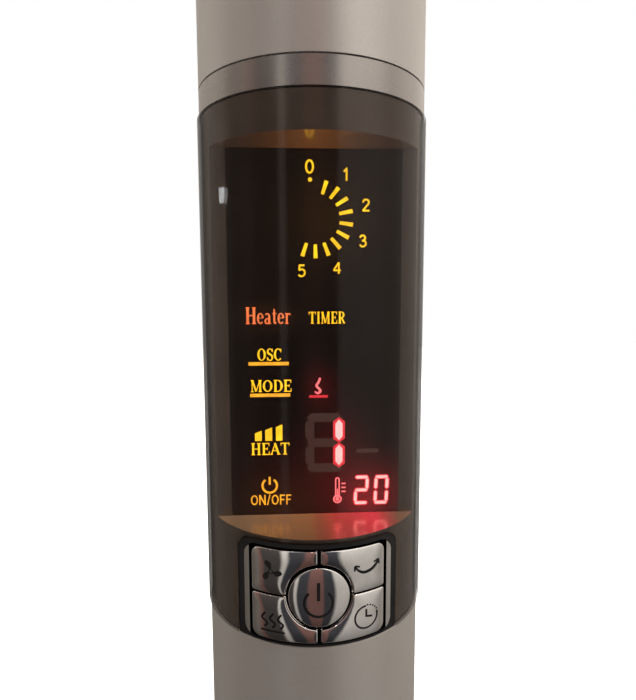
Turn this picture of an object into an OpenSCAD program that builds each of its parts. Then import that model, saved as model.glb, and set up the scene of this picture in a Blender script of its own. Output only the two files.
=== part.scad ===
// Oscillating ceramic tower heater: round weighted base, turning column with a smoked display
// cover and a five-key pad low on its front, warm air grille above, intake and filter behind.
// Origin at the centre of the footprint on the floor, +Z up, the display faces -Y.

/* [Column] */
// Outer radius of the round column
column_r = 55; // [45:0.5:68]
// Wall of the column shells
wall = 3; // [2.5:0.25:4]
// Plain length of the column below the display cover
lower_h = 150; // [100:1:190]
// Length of the column above the trim ring
upper_h = 320; // [260:5:400]
// Height of the top cap
cap_h = 12; // [9:0.5:18]
// Radius of the top cap's rounded edge
cap_round = 7; // [3:0.5:8]
// Gap at the parting line between front and rear shells
parting = 0.4; // [0.2:0.1:0.8]

/* [Trim ring] */
// Height of the silver trim ring above the display cover
band_h = 12.9; // [8:0.1:20]
// Wall of the trim ring
band_t = 1.5; // [1:0.1:2]

/* [Display cover] */
// Height of the smoked cover
cover_h = 239; // [195:1:290]
// Wall of the smoked cover
cover_t = 1.8; // [1.2:0.1:2.4]
// Step between the column and the cover's outer face
cover_proud = 1; // [0.5:0.1:2]
// Half of the angle that the cover wraps round the front
cover_half = 89.4; // [80:0.2:89.4]

/* [Display] */
// Depth of the flat display plane behind the cover's outer face
pocket_depth = 30.2; // [22:0.1:34]
// Height of the pocket's floor above the cover's bottom edge
pocket_low = 49.2; // [48.5:0.1:60]
// Depth of the solid zone between the pocket's roof and the cover's top edge
pocket_roof = 16.7; // [8:0.1:24]
// Wall of the display frame
frame_t = 2; // [1.5:0.1:3]
// Thickness of the dark display mask
mask_t = 1.2; // [0.8:0.1:2]
// Margin between the mask and the pocket's side wall
mask_margin = 5.1; // [3:0.1:10]
// Depth of the light box behind the mask
light_box_t = 8; // [5:0.5:12]
// Light cells across the display
cell_columns = 4; // [3:1:5]
// Light cells up the display
cell_rows = 9; // [6:1:12]

/* [Keys] */
// Half angle of the four outer keys
key_half = 32.7; // [30:0.1:32.9]
// Half angle of the chrome bezel's inner edge
bezel_in = 34; // [33.8:0.1:35]
// Half angle of the chrome bezel's outer edge
bezel_out = 36.9; // [36:0.1:37.5]
// Half angle of the opening in the cover
opening_half = 41; // [39.5:0.1:43]
// Height of the opening's top above the cover's bottom edge
opening_top = 47.7; // [46.6:0.1:48.2]
// Corner radius of the opening
opening_round = 7; // [4:0.5:10]
// Bottom edge of the lower keys above the cover's bottom edge
key_low = 1.6; // [1.4:0.1:3]
// Top edge of the upper keys above the cover's bottom edge
key_high = 44.3; // [40:0.1:45]
// Height of the centre key's middle
key_mid = 23; // [22:0.1:24]
// Radius of the round centre key
centre_key_r = 13.8; // [10:0.1:15]
// Radius of the round cut in the four outer keys
ring_cut_r = 15.3; // [15:0.1:17]
// Gap between neighbouring keys
key_gap = 0.9; // [0.5:0.1:1.5]
// Thickness of a key's face
key_t = 5.6; // [3:0.1:7]
// Travel of a key
key_travel = 1; // [0.6:0.1:1.5]
// Corner radius of a key's outline
key_round = 4; // [2:0.5:6]
// Radius of a key's stem
stem_r = 2; // [1.5:0.1:3]

/* [Heating element] */
// Distance from the inside of the shell to the element's front
element_setback = 10; // [8:0.5:14]
// Depth of the element
element_t = 18; // [14:0.5:24]
// Pitch of the element's fins
fin_pitch = 4.5; // [3:0.5:8]
// Thickness of one fin
fin_t = 0.6; // [0.4:0.1:1]
// Ceramic bars in the element
stone_count = 3; // [2:1:4]

/* [Fan] */
// Gap between the element and the impeller
fan_gap = 7; // [6:0.5:10]
// Space kept between the impeller and the rear of the column
intake_gap = 18; // [16:0.5:22]
// Radius of the fan's steel shaft
shaft_r = 2.5; // [2:0.1:4]
// Blades on the impeller
blade_count = 20; // [12:1:30]
// Thickness of a blade
blade_t = 0.8; // [0.6:0.1:1.2]
// Height of the fan motor
motor_h = 30; // [20:1:36]
// Running clearance of shafts in their bores, on the radius
running = 0.05; // [0.02:0.01:0.08]

/* [Grilles] */
// Half angle of the warm air opening
outlet_half = 38; // [30:0.5:44]
// Half angle of the rear intake opening
intake_half = 48; // [36:0.5:54]
// Height of one louvre
louvre_h = 2; // [1.5:0.1:3]
// Pitch of the louvres
louvre_pitch = 5.6; // [4.5:0.1:7]
// Width of the border of a grille or filter frame
border = 5; // [4:0.5:8]
// Fitting gap round loose panels
panel_gap = 0.4; // [0.2:0.1:0.8]

/* [Handle] */
// Width of the grip recess in the rear shell
grip_w = 68; // [50:1:72]
// Height of the grip recess
grip_h = 28; // [24:1:34]
// Depth of the grip recess
grip_d = 22; // [16:1:26]

/* [Main switch] */
// Width of the rear main switch
switch_w = 21; // [18:0.5:26]
// Height of the rear main switch
switch_h = 28; // [24:0.5:32]
// Tilt of the rocker from its middle position
rocker_tilt = 9; // [5:0.5:12]

/* [Base] */
// Radius of the base
base_r = 115; // [95:1:140]
// Height of the base above its feet
base_h = 33; // [31:0.5:42]
// Height of the base's upright rim
rim_h = 7; // [5:0.5:12]
// Wall of the base housing
base_wall = 2.5; // [2:0.25:4]
// Height of the rubber feet
foot_h = 3; // [2:0.5:5]
// Radius of a rubber foot
foot_r = 8; // [6:0.5:12]
// Number of feet, and of screws between them
foot_count = 5; // [4:1:6]
// Gap between the base and the column
column_gap = 3; // [2:0.5:6]
// Thickness of the steel weight
weight_t = 7; // [4:0.5:8]
// Radius of the cord that passes the inlet
cord_bore_r = 3.75; // [3:0.05:4.5]

/* [Oscillation] */
// Half of the angle that the column swings through
swing_half = 32; // [15:1:45]
// Module of the gear teeth
gear_module = 1.5; // [1.25:0.25:1.75]
// Teeth on a whole circle of the sector gear
sector_teeth = 60; // [48:1:66]
// Teeth on the pinion
pinion_teeth = 15; // [14:1:18]
// Thickness of the gears
gear_t = 4.5; // [3:0.5:5]
// Outer radius of the pivot spindle
spindle_r = 14; // [12:0.5:16]
// Inner radius of the pivot spindle
spindle_bore_r = 9.5; // [7:0.5:10]
// Travel of the tip-over plunger
plunger_travel = 4; // [3:0.5:5]

/* [Hidden] */
$fn = 96;
eps = 0.01;

// Heights
base_top = foot_h + base_h;
column_z = base_top + column_gap;
cover_z = column_z + lower_h;
cover_top = cover_z + cover_h;
band_top = cover_top + band_h;
cap_z = band_top + upper_h;
top_z = cap_z + cap_h;
pocket_floor = cover_z + pocket_low;
pocket_ceiling = cover_top - pocket_roof;

// Radii
inner_r = column_r - wall;
cover_r = column_r + cover_proud;
frame_r = cover_r - cover_t - 0.1;
liner_r = frame_r - frame_t;

// Display
display_y = -(cover_r - pocket_depth);
pocket_half_w = sqrt(pow(liner_r, 2) - pow(display_y, 2));
mask_half_w = pocket_half_w + 0.4 - mask_margin;
window_inset = 6;
light_box_y = display_y + mask_t;
board_t = 1.6;
display_board_y = light_box_y + light_box_t;
cell_wall = 1.2;
light_half_w = mask_half_w - window_inset;
board_half_w = light_half_w + 2;
light_low = pocket_floor + window_inset;
light_high = pocket_ceiling - window_inset;
cell_w = (2 * light_half_w - cell_wall) / cell_columns;
cell_h = (light_high - light_low - cell_wall) / cell_rows;

// Keys
key_half_w = cover_r * sin(key_half);
bezel_in_w = cover_r * sin(bezel_in);
bezel_out_w = cover_r * sin(bezel_out);
opening_half_w = cover_r * sin(opening_half);
key_inner_r = cover_r - key_t;
bezel_plate_r = key_inner_r - key_travel - 0.4;
bezel_plate_t = 1.6;
key_side_x = (key_half_w + ring_cut_r * 0.55) / 2 + 1;
key_rise = (key_high - key_low) / 4 + 0.6;
key_board_y = -(cover_r * 0.52);
tact_h = 3.6;
tact_w = 6;
stem_end_y = key_board_y - tact_h - key_travel - 0.2;
key_board_half_w = opening_half_w - 2.6;
rib_x = opening_half_w + 0.4;

// Fan and heating element
element_y = -(inner_r - element_setback);
element_half_w = sqrt(pow(inner_r - 2, 2) - pow(element_y, 2));
element_back_y = element_y + element_t;
fan_r = (inner_r - intake_gap - element_back_y - fan_gap) / 2;
fan_y = element_back_y + fan_gap + fan_r;
motor_z = band_top + 4;
motor_r = fan_r - 2;
bracket_z = motor_z + motor_h;
bracket_t = 2.5;
duct_t = 1.5;
fan_z = bracket_z + bracket_t + duct_t + 3;
grip_top = cap_z - 11;
grip_z = grip_top - grip_h;
fan_top = grip_z - 17;
fan_h = fan_top - fan_z;
bearing_z = fan_top + 3 + duct_t;
hub_h = 4;
scroll_r = fan_r + 2.5;
outlet_z = bracket_z;
outlet_top = bearing_z + bracket_t;
element_z = outlet_z + 6;
element_top = outlet_top - 6;
element_h = element_top - element_z;
stone_pitch = (2 * element_half_w - 3) / stone_count;
stone_w = 5;

// Rear grille
grille_half = intake_half + 2.5;
grille_out_r = inner_r - 0.1;
grille_t = 2;

// Filter, with the fitting gap taken off the intake opening
filter_half = intake_half - asin(panel_gap / inner_r);
filter_z = outlet_z + panel_gap;
filter_h = outlet_top - outlet_z - 2 * panel_gap;
filter_border_angle = border / column_r * 180 / PI;
mesh_r = inner_r + 0.6;
mesh_t = 0.6;
mesh_z = filter_z + border / 2 + 0.5;
mesh_h = filter_h - border - 1;
mesh_half = filter_half - filter_border_angle / 2;

// Main switch
main_switch_z = column_z + 22;
switch_y = column_r - 1.5;
rocker_y = switch_y - 1;
rocker_r = 9;
rocker_pin_r = 1.5;

// Base
rim_z = foot_h + rim_h;
plate_z = foot_h;
plate_t = 2;
plate_top = plate_z + plate_t;
neck_r = column_r + 7;
foot_ring_r = base_r - 17;
sector_r = gear_module * sector_teeth / 2;
pinion_r = gear_module * pinion_teeth / 2;
pinion_y = sector_r + pinion_r + 0.06;
pressure_angle = 20;
backlash = 0.22;
gear_z = base_top - 16;
osc_motor_r = 21;
osc_motor_h = gear_z - 2 - plate_top;
hub_z = gear_z + gear_t + 0.6;
bush_wall = 4;
plunger_r = 2.5;
plunger_x = -foot_ring_r * 0.52;
plunger_y = foot_ring_r * 0.52;
tip_switch_z = plate_top + 12;
tip_switch_h = base_top - base_wall - 4.5 - tip_switch_z;
flange_t = 1.5;
plunger_flange_z = plate_top + plunger_travel + 0.2;
gland_z = foot_h + 9.5;
gland_r = 5;
gland_flange_r = gland_r + 2;
gland_flange_t = 3;
gland_len = 12;
gland_y = base_r - 0.6 - gland_len;
gland_seat_y = gland_y + gland_flange_t + 0.1;

// Screws between the shells: x is the same for all, z of each row
screw_r = 1.5;
screw_head_r = 2.9;
boss_r = 4;
boss_x = board_half_w + boss_r + 0.4;
screw_rows = [
    column_z + lower_h / 2,
    cover_z + 38,
    cover_top - 42,
    band_top + 16,
    cap_z - 14
];

// ---------------------------------------------------------------- helpers

// Part of a tube centred on the front of the column
module front_arc(r_in, r_out, z, h, half) {
    rotate([0, 0, -90 - half]) rotate_extrude(angle = 2 * half) translate([r_in, z])
        square([r_out - r_in, h]);
}

// Part of a tube centred on the rear of the column
module rear_arc(r_in, r_out, z, h, half) {
    rotate([0, 0, 90 - half]) rotate_extrude(angle = 2 * half) translate([r_in, z])
        square([r_out - r_in, h]);
}

// Cylinder along +Y from y to y + h
module y_cylinder(r, x, y, z, h) {
    translate([x, y, z]) rotate([-90, 0, 0]) cylinder(r = r, h = h);
}

// Cylinder along +X, centred on x
module x_cylinder(r, x, y, z, h) {
    translate([x, y, z]) rotate([0, 90, 0]) cylinder(r = r, h = h, center = true);
}

// Box between two corners
module block(low, high) {
    translate(low) cube(high - low);
}

// Rectangle from (x0, z0) to (x1, z1) with round corners of radius r
module round_rect(x0, z0, x1, z1, r) {
    translate([x0 + r, z0]) square([x1 - x0 - 2 * r, z1 - z0]);
    translate([x0, z0 + r]) square([x1 - x0, z1 - z0 - 2 * r]);
    for (x = [x0 + r, x1 - r], z = [z0 + r, z1 - r]) translate([x, z]) circle(r = r);
}

// Outline in the XZ plane, drawn as (x, z), pushed back from y0 to y1
module front_extrude(y0, y1) {
    translate([0, y1, 0]) rotate([90, 0, 0]) linear_extrude(y1 - y0) children();
}

// Pan head screw along -Z from z = 0, its head above
module pan_screw(length) {
    cylinder(r = screw_head_r, h = 2);
    translate([0, 0, -length]) cylinder(r = screw_r, h = length + eps);
}

// Half angle of an involute tooth at radius r, for a gear of n teeth
function involute(a) = tan(a) * 180 / PI - a;
function tooth_half(n, r) =
    let (pitch = gear_module * n / 2, base = pitch * cos(pressure_angle))
    90 / n - backlash / 2 / pitch * 180 / PI + involute(pressure_angle)
    - involute(acos(min(1, base / r)));
function polar(r, a) = [r * cos(a), r * sin(a)];

// Outline of one gear, its tooth "first" centred on angle "start"
module gear_outline(n, count, start) {
    pitch = gear_module * n / 2;
    tip = pitch + 0.8 * gear_module;
    root = pitch - 1.05 * gear_module;
    low = max(root, pitch * cos(pressure_angle));
    radii = [for (i = [0:4]) low + (tip - low) * i / 4];
    teeth = [for (k = [0:count - 1]) let (c = start + k * 360 / n) each concat(
        [polar(root, c - 180 / n * 0.98), polar(root, c - tooth_half(n, low))],
        [for (r = radii) polar(r, c - tooth_half(n, r))],
        [for (i = [4:-1:0]) polar(radii[i], c + tooth_half(n, radii[i]))],
        [polar(root, c + tooth_half(n, low))]
    )];
    polygon(count < n ? concat([[0, 0]], teeth) : teeth);
}

// ---------------------------------------------------------------- base

// Quarter ellipse of the base's crown, from the rim to the neck
function crown(r_out, z_low, r_in, z_high, steps) = [
    for (i = [0:steps])
        let (a = 90 * i / steps)
        [r_in + (r_out - r_in) * cos(a), z_low + (z_high - z_low) * sin(a)]
];

module base_housing() {
    screw_boss_z = plate_top + 0.1;
    color([0.62, 0.60, 0.57]) difference() {
        union() {
            rotate_extrude() difference() {
                polygon(concat(
                    [[spindle_r, base_top], [spindle_r, plate_z + 1], [base_r - 1, plate_z + 1],
                        [base_r, plate_z + 2]],
                    crown(base_r, rim_z, neck_r, base_top, 14)));
                polygon(concat(
                    [[0, base_top - base_wall], [0, 0], [base_r - base_wall, 0]],
                    crown(base_r - base_wall, rim_z, neck_r, base_top - base_wall, 14)));
            }
            translate([0, 0, hub_z])
                cylinder(r = spindle_r + bush_wall + 5, h = base_top - base_wall - hub_z + eps);
            intersection() {
                union() {
                    for (i = [0:foot_count - 1]) rotate([0, 0, 90 + (i + 0.5) * 360 / foot_count])
                        translate([foot_ring_r, 0, screw_boss_z])
                            cylinder(r = boss_r, h = base_h);
                    block([-gland_flange_r - 1, gland_seat_y, screw_boss_z],
                        [gland_flange_r + 1, base_r, gland_z + gland_flange_r + 1]);
                }
                rotate_extrude() polygon(concat([[0, base_top - 1], [0, 0], [base_r - 1, 0]],
                    crown(base_r - 1, rim_z, neck_r, base_top - 1, 14)));
            }
        }
        translate([0, 0, hub_z - 1]) cylinder(r = spindle_r + bush_wall, h = base_h);
        for (i = [0:foot_count - 1]) rotate([0, 0, 90 + (i + 0.5) * 360 / foot_count])
            translate([foot_ring_r, 0, plate_top]) cylinder(r = screw_r, h = 9.5);
        y_cylinder(gland_r, 0, gland_seat_y - 1, gland_z, base_r);
    }
}

module base_plate() {
    color([0.16, 0.16, 0.17]) difference() {
        translate([0, 0, plate_z]) cylinder(r = base_r - base_wall - panel_gap, h = plate_t);
        translate([plunger_x, plunger_y, 0]) cylinder(r = plunger_r + 1.9, h = plate_top + 1);
        for (i = [0:foot_count - 1]) rotate([0, 0, 90 + (i + 0.5) * 360 / foot_count])
            translate([foot_ring_r, 0, 0]) {
                cylinder(r = screw_r + 0.2, h = plate_top + 1);
                cylinder(r = screw_head_r + 0.2, h = plate_z + 0.8);
            }
        for (i = [0:foot_count - 1]) rotate([0, 0, 90 + i * 360 / foot_count])
            translate([foot_ring_r, 0, 0]) cylinder(r = foot_r - 5, h = plate_top + 1);
        for (s = [-1, 1]) translate([s * (osc_motor_r + 4), pinion_y, 0])
            cylinder(r = screw_r + 0.2, h = plate_top + 1);
    }
}

module base_weight() {
    outer = foot_ring_r - foot_r - 2;
    color([0.35, 0.35, 0.36]) front_arc(outer - 42, outer, plate_top + 0.1, weight_t, 98);
}

module rubber_feet() {
    color([0.07, 0.07, 0.07]) for (i = [0:foot_count - 1])
        rotate([0, 0, 90 + i * 360 / foot_count]) translate([foot_ring_r, 0, 0]) {
            cylinder(r1 = foot_r - 0.8, r2 = foot_r, h = 0.8);
            translate([0, 0, 0.8]) cylinder(r = foot_r, h = foot_h - 0.8);
            cylinder(r = foot_r - 5, h = plate_top + 0.1);
            translate([0, 0, plate_top + 0.1]) cylinder(r = foot_r - 4.4, h = 1);
        }
}

module base_screws() {
    color([0.7, 0.7, 0.7]) for (i = [0:foot_count - 1])
        rotate([0, 0, 90 + (i + 0.5) * 360 / foot_count]) translate([foot_ring_r, 0, plate_z + 0.8])
            rotate([180, 0, 0]) {
                translate([0, 0, -9]) cylinder(r = screw_r, h = 9);
                cylinder(r1 = screw_head_r, r2 = screw_head_r - 0.6, h = 0.7);
            }
}

module pivot_bush() {
    color([0.9, 0.88, 0.8]) difference() {
        translate([0, 0, hub_z]) cylinder(r = spindle_r + bush_wall, h = base_top - hub_z);
        translate([0, 0, hub_z - 1]) cylinder(r = spindle_r + running, h = base_h);
    }
}

module glide_washer() {
    color([0.93, 0.93, 0.9]) translate([0, 0, base_top]) difference() {
        cylinder(r = inner_r - 8, h = column_gap - 0.1);
        translate([0, 0, -1]) cylinder(r = spindle_r + bush_wall + 6, h = column_gap + 2);
    }
}

module osc_motor() {
    color([0.72, 0.73, 0.75]) difference() {
        union() {
            // The can stands off the plate by its mounting strap, clear of a foot's head
            translate([0, pinion_y, plate_top + 1.5])
                cylinder(r = osc_motor_r, h = osc_motor_h - 1.4);
            translate([0, pinion_y, plate_top + 0.1]) cylinder(r = 5, h = osc_motor_h + 1);
            for (s = [-1, 1]) translate([s * (osc_motor_r + 4), pinion_y, plate_top + 0.1])
                cylinder(r = 4, h = 1.5);
            block([-osc_motor_r - 4, pinion_y - 4, plate_top + 0.1],
                [osc_motor_r + 4, pinion_y + 4, plate_top + 1.6]);
        }
        translate([0, pinion_y, plate_top + 3]) cylinder(r = 2 + running, h = base_h);
        for (s = [-1, 1]) translate([s * (osc_motor_r + 4), pinion_y, 0])
            cylinder(r = screw_r + 0.1, h = base_top);
    }
}

module osc_motor_screws() {
    color([0.75, 0.75, 0.75]) for (s = [-1, 1])
        translate([s * (osc_motor_r + 4), pinion_y, plate_top + 1.7]) pan_screw(3.2);
}

module osc_pinion() {
    color([0.92, 0.9, 0.84]) {
        translate([0, pinion_y, gear_z]) linear_extrude(gear_t)
            gear_outline(pinion_teeth, pinion_teeth, -90 + 180 / pinion_teeth);
        translate([0, pinion_y, plate_top + 4]) cylinder(r = 2, h = gear_z - plate_top - 4 + eps);
    }
}

module cord_gland() {
    color([0.08, 0.08, 0.08]) difference() {
        union() {
            y_cylinder(gland_r - 0.1, 0, gland_y, gland_z, gland_len);
            y_cylinder(gland_flange_r, 0, gland_y, gland_z, gland_flange_t);
        }
        y_cylinder(cord_bore_r, 0, gland_y - 1, gland_z, gland_len + 2);
    }
}

module tip_switch() {
    color([0.1, 0.1, 0.12]) difference() {
        block([plunger_x - 10, plunger_y - 6, tip_switch_z],
            [plunger_x + 10, plunger_y + 6, tip_switch_z + tip_switch_h]);
        translate([plunger_x, plunger_y, tip_switch_z - 1])
            cylinder(r = plunger_r + running, h = tip_switch_h - 2);
    }
    color([0.1, 0.1, 0.12]) for (s = [-1, 1])
        block([plunger_x + s * 9 - 1, plunger_y - 6, plate_top + 0.1],
            [plunger_x + s * 9 + 1, plunger_y + 6, tip_switch_z + eps]);
}

// Coil of round wire between two heights, as one closed tube
module coil(radius, wire_r, z0, z1, turns) {
    steps = 12 * turns;
    sides = 6;
    rings = [for (i = [0:steps], k = [0:sides - 1])
        let (a = 30 * i, b = 360 * k / sides, r = radius + wire_r * cos(b))
        [r * cos(a), r * sin(a), z0 + wire_r + (z1 - z0 - 2 * wire_r) * i / steps + wire_r * sin(b)]];
    skin = [for (i = [0:steps - 1], k = [0:sides - 1]) let (n = (k + 1) % sides)
        [i * sides + k, (i + 1) * sides + k, (i + 1) * sides + n, i * sides + n]];
    ends = [[for (k = [0:sides - 1]) k], [for (k = [sides - 1:-1:0]) steps * sides + k]];
    polyhedron(rings, concat(skin, ends));
}

module tip_spring() {
    color([0.8, 0.8, 0.82]) translate([plunger_x, plunger_y, 0])
        coil(plunger_r + 1.3, 0.5, plunger_flange_z + flange_t + 0.1, tip_switch_z - 0.1, 4);
}

module tip_plunger() {
    color([0.85, 0.2, 0.15]) translate([plunger_x, plunger_y, 0]) {
        cylinder(r1 = plunger_r - 0.8, r2 = plunger_r, h = 0.8);
        translate([0, 0, 0.8]) cylinder(r = plunger_r, h = tip_switch_z + tip_switch_h - 8);
        translate([0, 0, plunger_flange_z]) cylinder(r = plunger_r + 2.6, h = flange_t);
    }
}

// ---------------------------------------------------------------- column: turning parts

module turntable() {
    spindle_low = gear_z - 7.5;
    color([0.2, 0.2, 0.21]) difference() {
        union() {
            translate([0, 0, column_z]) cylinder(r = inner_r - 0.3, h = 4);
            translate([0, 0, spindle_low]) cylinder(r = spindle_r, h = column_z - spindle_low + eps);
        }
        translate([0, 0, spindle_low - 1]) cylinder(r = spindle_bore_r, h = column_z);
    }
}

module sector_gear() {
    mesh_half = swing_half + 12;
    step = 360 / sector_teeth;
    count = 2 * ceil(mesh_half / step) + 1;
    color([0.92, 0.9, 0.84]) translate([0, 0, gear_z]) difference() {
        union() {
            linear_extrude(gear_t)
                gear_outline(sector_teeth, count, 90 - step * (count - 1) / 2);
            cylinder(r = spindle_r + 8, h = gear_t);
        }
        translate([0, 0, -1]) cylinder(r = spindle_r + 0.02, h = gear_t + 2);
    }
}

module spindle_nut() {
    color([0.75, 0.75, 0.77]) difference() {
        translate([0, 0, gear_z - 6]) cylinder(r = spindle_r + 7, h = 5.9, $fn = 6);
        translate([0, 0, gear_z - 7]) cylinder(r = spindle_r + 0.02, h = 8);
    }
}

// Screw posts of the front pieces, from the wall to the parting plane
module grille_notch() {
    rear_arc(grille_out_r - grille_t - 0.3, column_r, -1, bracket_t + 2, grille_half + 1);
}
module front_posts(rows) {
    for (z = rows, s = [-1, 1]) difference() {
        intersection() {
            y_cylinder(boss_r, s * boss_x, -column_r, z, column_r - parting);
            translate([0, 0, z - boss_r - 1]) cylinder(r = column_r - 1, h = 2 * boss_r + 2);
        }
        y_cylinder(screw_r, s * boss_x, -11, z, 12);
    }
}

// Profile of a shell's wall whose top edge carries a small chamfer
module chamfered_wall(r_in, r_out, z, h, c) {
    polygon([[r_in, z], [r_out, z], [r_out, z + h - c], [r_out - c, z + h], [r_in, z + h]]);
}

module rear_shell() {
    edge = asin(parting / 2 / column_r);
    color([0.60, 0.57, 0.54]) difference() {
        union() {
            rear_arc(inner_r, column_r, column_z, cap_z - column_z, 90 - edge);
            intersection() {
                for (z = screw_rows, s = [-1, 1])
                    y_cylinder(boss_r, s * boss_x, parting / 2, z, column_r);
                translate([0, 0, column_z]) cylinder(r = column_r - 1, h = cap_z - column_z);
            }
        }
        rear_arc(column_r - band_t - 0.1, column_r + 1, cover_top, band_h, 91);
        for (z = screw_rows, s = [-1, 1]) {
            y_cylinder(screw_r + 0.1, s * boss_x, -1, z, column_r);
            y_cylinder(screw_head_r + 0.1, s * boss_x, 10, z, column_r);
        }
        rear_arc(inner_r - 1, column_r + 1, outlet_z, outlet_top - outlet_z, intake_half);
        block([-grip_w / 2 - panel_gap, 1, grip_z - panel_gap],
            [grip_w / 2 + panel_gap, column_r + 1, grip_top + panel_gap]);
        block([-switch_w / 2 + 1, 1, main_switch_z - switch_h / 2 + 1],
            [switch_w / 2 - 1, column_r + 1, main_switch_z + switch_h / 2 - 1]);
        block([-switch_w / 2 - 0.1, switch_y - 0.05, main_switch_z - switch_h / 2 - 0.1],
            [switch_w / 2 + 0.1, column_r + 2, main_switch_z + switch_h / 2 + 0.1]);
    }
}

module lower_front_cover() {
    edge = asin(parting / 2 / column_r);
    color([0.55, 0.53, 0.51]) {
        rotate([0, 0, -180 + edge]) rotate_extrude(angle = 180 - 2 * edge)
            chamfered_wall(inner_r, column_r, column_z, lower_h - 0.3, 0.7);
        front_posts([screw_rows[0]]);
    }
}

module upper_front_cover() {
    edge = asin(parting / 2 / column_r);
    color([0.60, 0.57, 0.54]) {
        difference() {
            union() {
                front_arc(inner_r, column_r, band_top, upper_h, 90 - edge);
                front_arc(inner_r, column_r - band_t - 0.1, cover_top + 0.3, band_h, 90 - edge);
            }
            front_arc(inner_r - 1, column_r + 1, outlet_z, outlet_top - outlet_z, outlet_half);
        }
        front_posts([screw_rows[3], screw_rows[4]]);
    }
}

module trim_ring() {
    color([0.50, 0.50, 0.50]) rotate_extrude()
        chamfered_wall(column_r - band_t, column_r, cover_top + 0.25, band_h - 0.5, 0.6);
}

// ---------------------------------------------------------------- display

// Opening in the cover for the key pad: open at the bottom, round at the top
module pad_outline(half_w, top, r) {
    translate([-half_w, cover_z - 2]) square([2 * half_w, top - r + 2]);
    round_rect(-half_w, cover_z + top - 2 * r - 2, half_w, cover_z + top, r);
}

module smoke_cover() {
    color([0.16, 0.12, 0.10, 0.5]) difference() {
        front_arc(cover_r - cover_t, cover_r, cover_z, cover_h - 0.5, cover_half);
        front_extrude(-cover_r - 1, 0) pad_outline(opening_half_w, opening_top, opening_round);
    }
}

module display_frame() {
    edge = asin(parting / 2 / frame_r);
    skirt_half = 90 - edge;
    boss_side_x = (boss_x + liner_r + 0.4) / 2;
    boss_side_w = (liner_r + 0.4 - boss_x) / 2;
    color([0.09, 0.08, 0.08]) {
        difference() {
            union() {
                front_arc(liner_r, frame_r, cover_z + 0.2, cover_h - 0.7, skirt_half);
                intersection() {
                    translate([0, 0, pocket_floor - frame_t]) cylinder(
                        r = frame_r - frame_t / 3, h = pocket_ceiling - pocket_floor + 2 * frame_t);
                    block([-column_r, -column_r, pocket_floor - frame_t],
                        [column_r, display_y + mask_t + frame_t, pocket_ceiling + frame_t]);
                }
                intersection() {
                    translate([0, 0, cover_z]) cylinder(r = frame_r - 0.1, h = cover_h);
                    for (s = [-1, 1]) block([s * (rib_x + 1) - 1, key_board_y - 7, cover_z + 0.2],
                        [s * (rib_x + 1) + 1, key_board_y + 3, pocket_floor - frame_t / 2]);
                }
            }
            block([-column_r, -column_r, pocket_floor], [column_r, display_y, pocket_ceiling]);
            block([-mask_half_w - 0.1, display_y - 1, pocket_floor],
                [mask_half_w + 0.1, display_y + mask_t, pocket_ceiling]);
            block([-light_half_w, display_y, light_low], [light_half_w, 0, light_high]);
            front_extrude(-cover_r, 0)
                pad_outline(opening_half_w + 0.1, opening_top, opening_round);
        }
        for (z = [screw_rows[1], screw_rows[2]], s = [-1, 1]) difference() {
            union() {
                y_cylinder(boss_r, s * boss_x, light_box_y + frame_t / 2, z,
                    -light_box_y - frame_t / 2 - parting);
                block([s * boss_side_x - boss_side_w, -10, z - 1],
                    [s * boss_side_x + boss_side_w, -8, z + 1]);
            }
            y_cylinder(screw_r, s * boss_x, -11, z, 12);
        }
    }
}

module display_mask() {
    color([0.03, 0.02, 0.02]) block([-mask_half_w, display_y, pocket_floor + 0.1],
        [mask_half_w, display_y + mask_t - 0.05, pocket_ceiling - 0.1]);
}

module light_box() {
    color([0.85, 0.85, 0.82]) difference() {
        block([-light_half_w + 0.1, light_box_y, light_low + 0.1],
            [light_half_w - 0.1, display_board_y - 0.05, light_high - 0.1]);
        for (i = [0:cell_columns - 1], k = [0:cell_rows - 1])
            translate([-light_half_w + cell_wall + i * cell_w, light_box_y - 1,
                light_low + cell_wall + k * cell_h])
                cube([cell_w - cell_wall, light_box_t + 2, cell_h - cell_wall]);
    }
}

module display_board() {
    color([0.05, 0.28, 0.12]) block([-board_half_w, display_board_y, light_low - 3],
        [board_half_w, display_board_y + board_t, light_high + 3]);
}

module display_leds() {
    color([0.95, 0.85, 0.6]) for (i = [0:cell_columns - 1], k = [0:cell_rows - 1])
        translate([-light_half_w + cell_wall / 2 + (i + 0.5) * cell_w, display_board_y - 0.8,
            light_low + cell_wall / 2 + (k + 0.5) * cell_h])
            cube([3.5, 1.5, 2.8], center = true);
}

// ---------------------------------------------------------------- keys

module key_surround() {
    color([0.05, 0.04, 0.04]) difference() {
        intersection() {
            front_arc(bezel_plate_r - bezel_plate_t, cover_r - 0.5, cover_z + 0.2, opening_top, 60);
            front_extrude(-cover_r, 0)
                pad_outline(opening_half_w - 0.3, opening_top - 0.3, opening_round - 0.3);
        }
        front_extrude(-cover_r - 1, 0)
            round_rect(-bezel_out_w - 0.1, cover_z + 0.9, bezel_out_w + 0.1,
                cover_z + key_high + 1.3, key_round + 2);
    }
}

module key_bezel() {
    color([0.8, 0.8, 0.8]) difference() {
        intersection() {
            front_extrude(-cover_r, 0) round_rect(-bezel_out_w, cover_z + 1, bezel_out_w,
                cover_z + key_high + 1.2, key_round + 2);
            front_arc(bezel_plate_r - bezel_plate_t, cover_r - 0.2, cover_z, opening_top, 60);
        }
        intersection() {
            front_extrude(-cover_r, 0) round_rect(-bezel_in_w, cover_z - 2, bezel_in_w,
                cover_z + opening_top + 4, 1);
            front_arc(bezel_plate_r, cover_r + 1, cover_z - 1, opening_top + 2, 60);
        }
        for (p = key_centres()) y_cylinder(stem_r + 0.8, p[0], -cover_r, cover_z + p[1], cover_r);
    }
}

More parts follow.
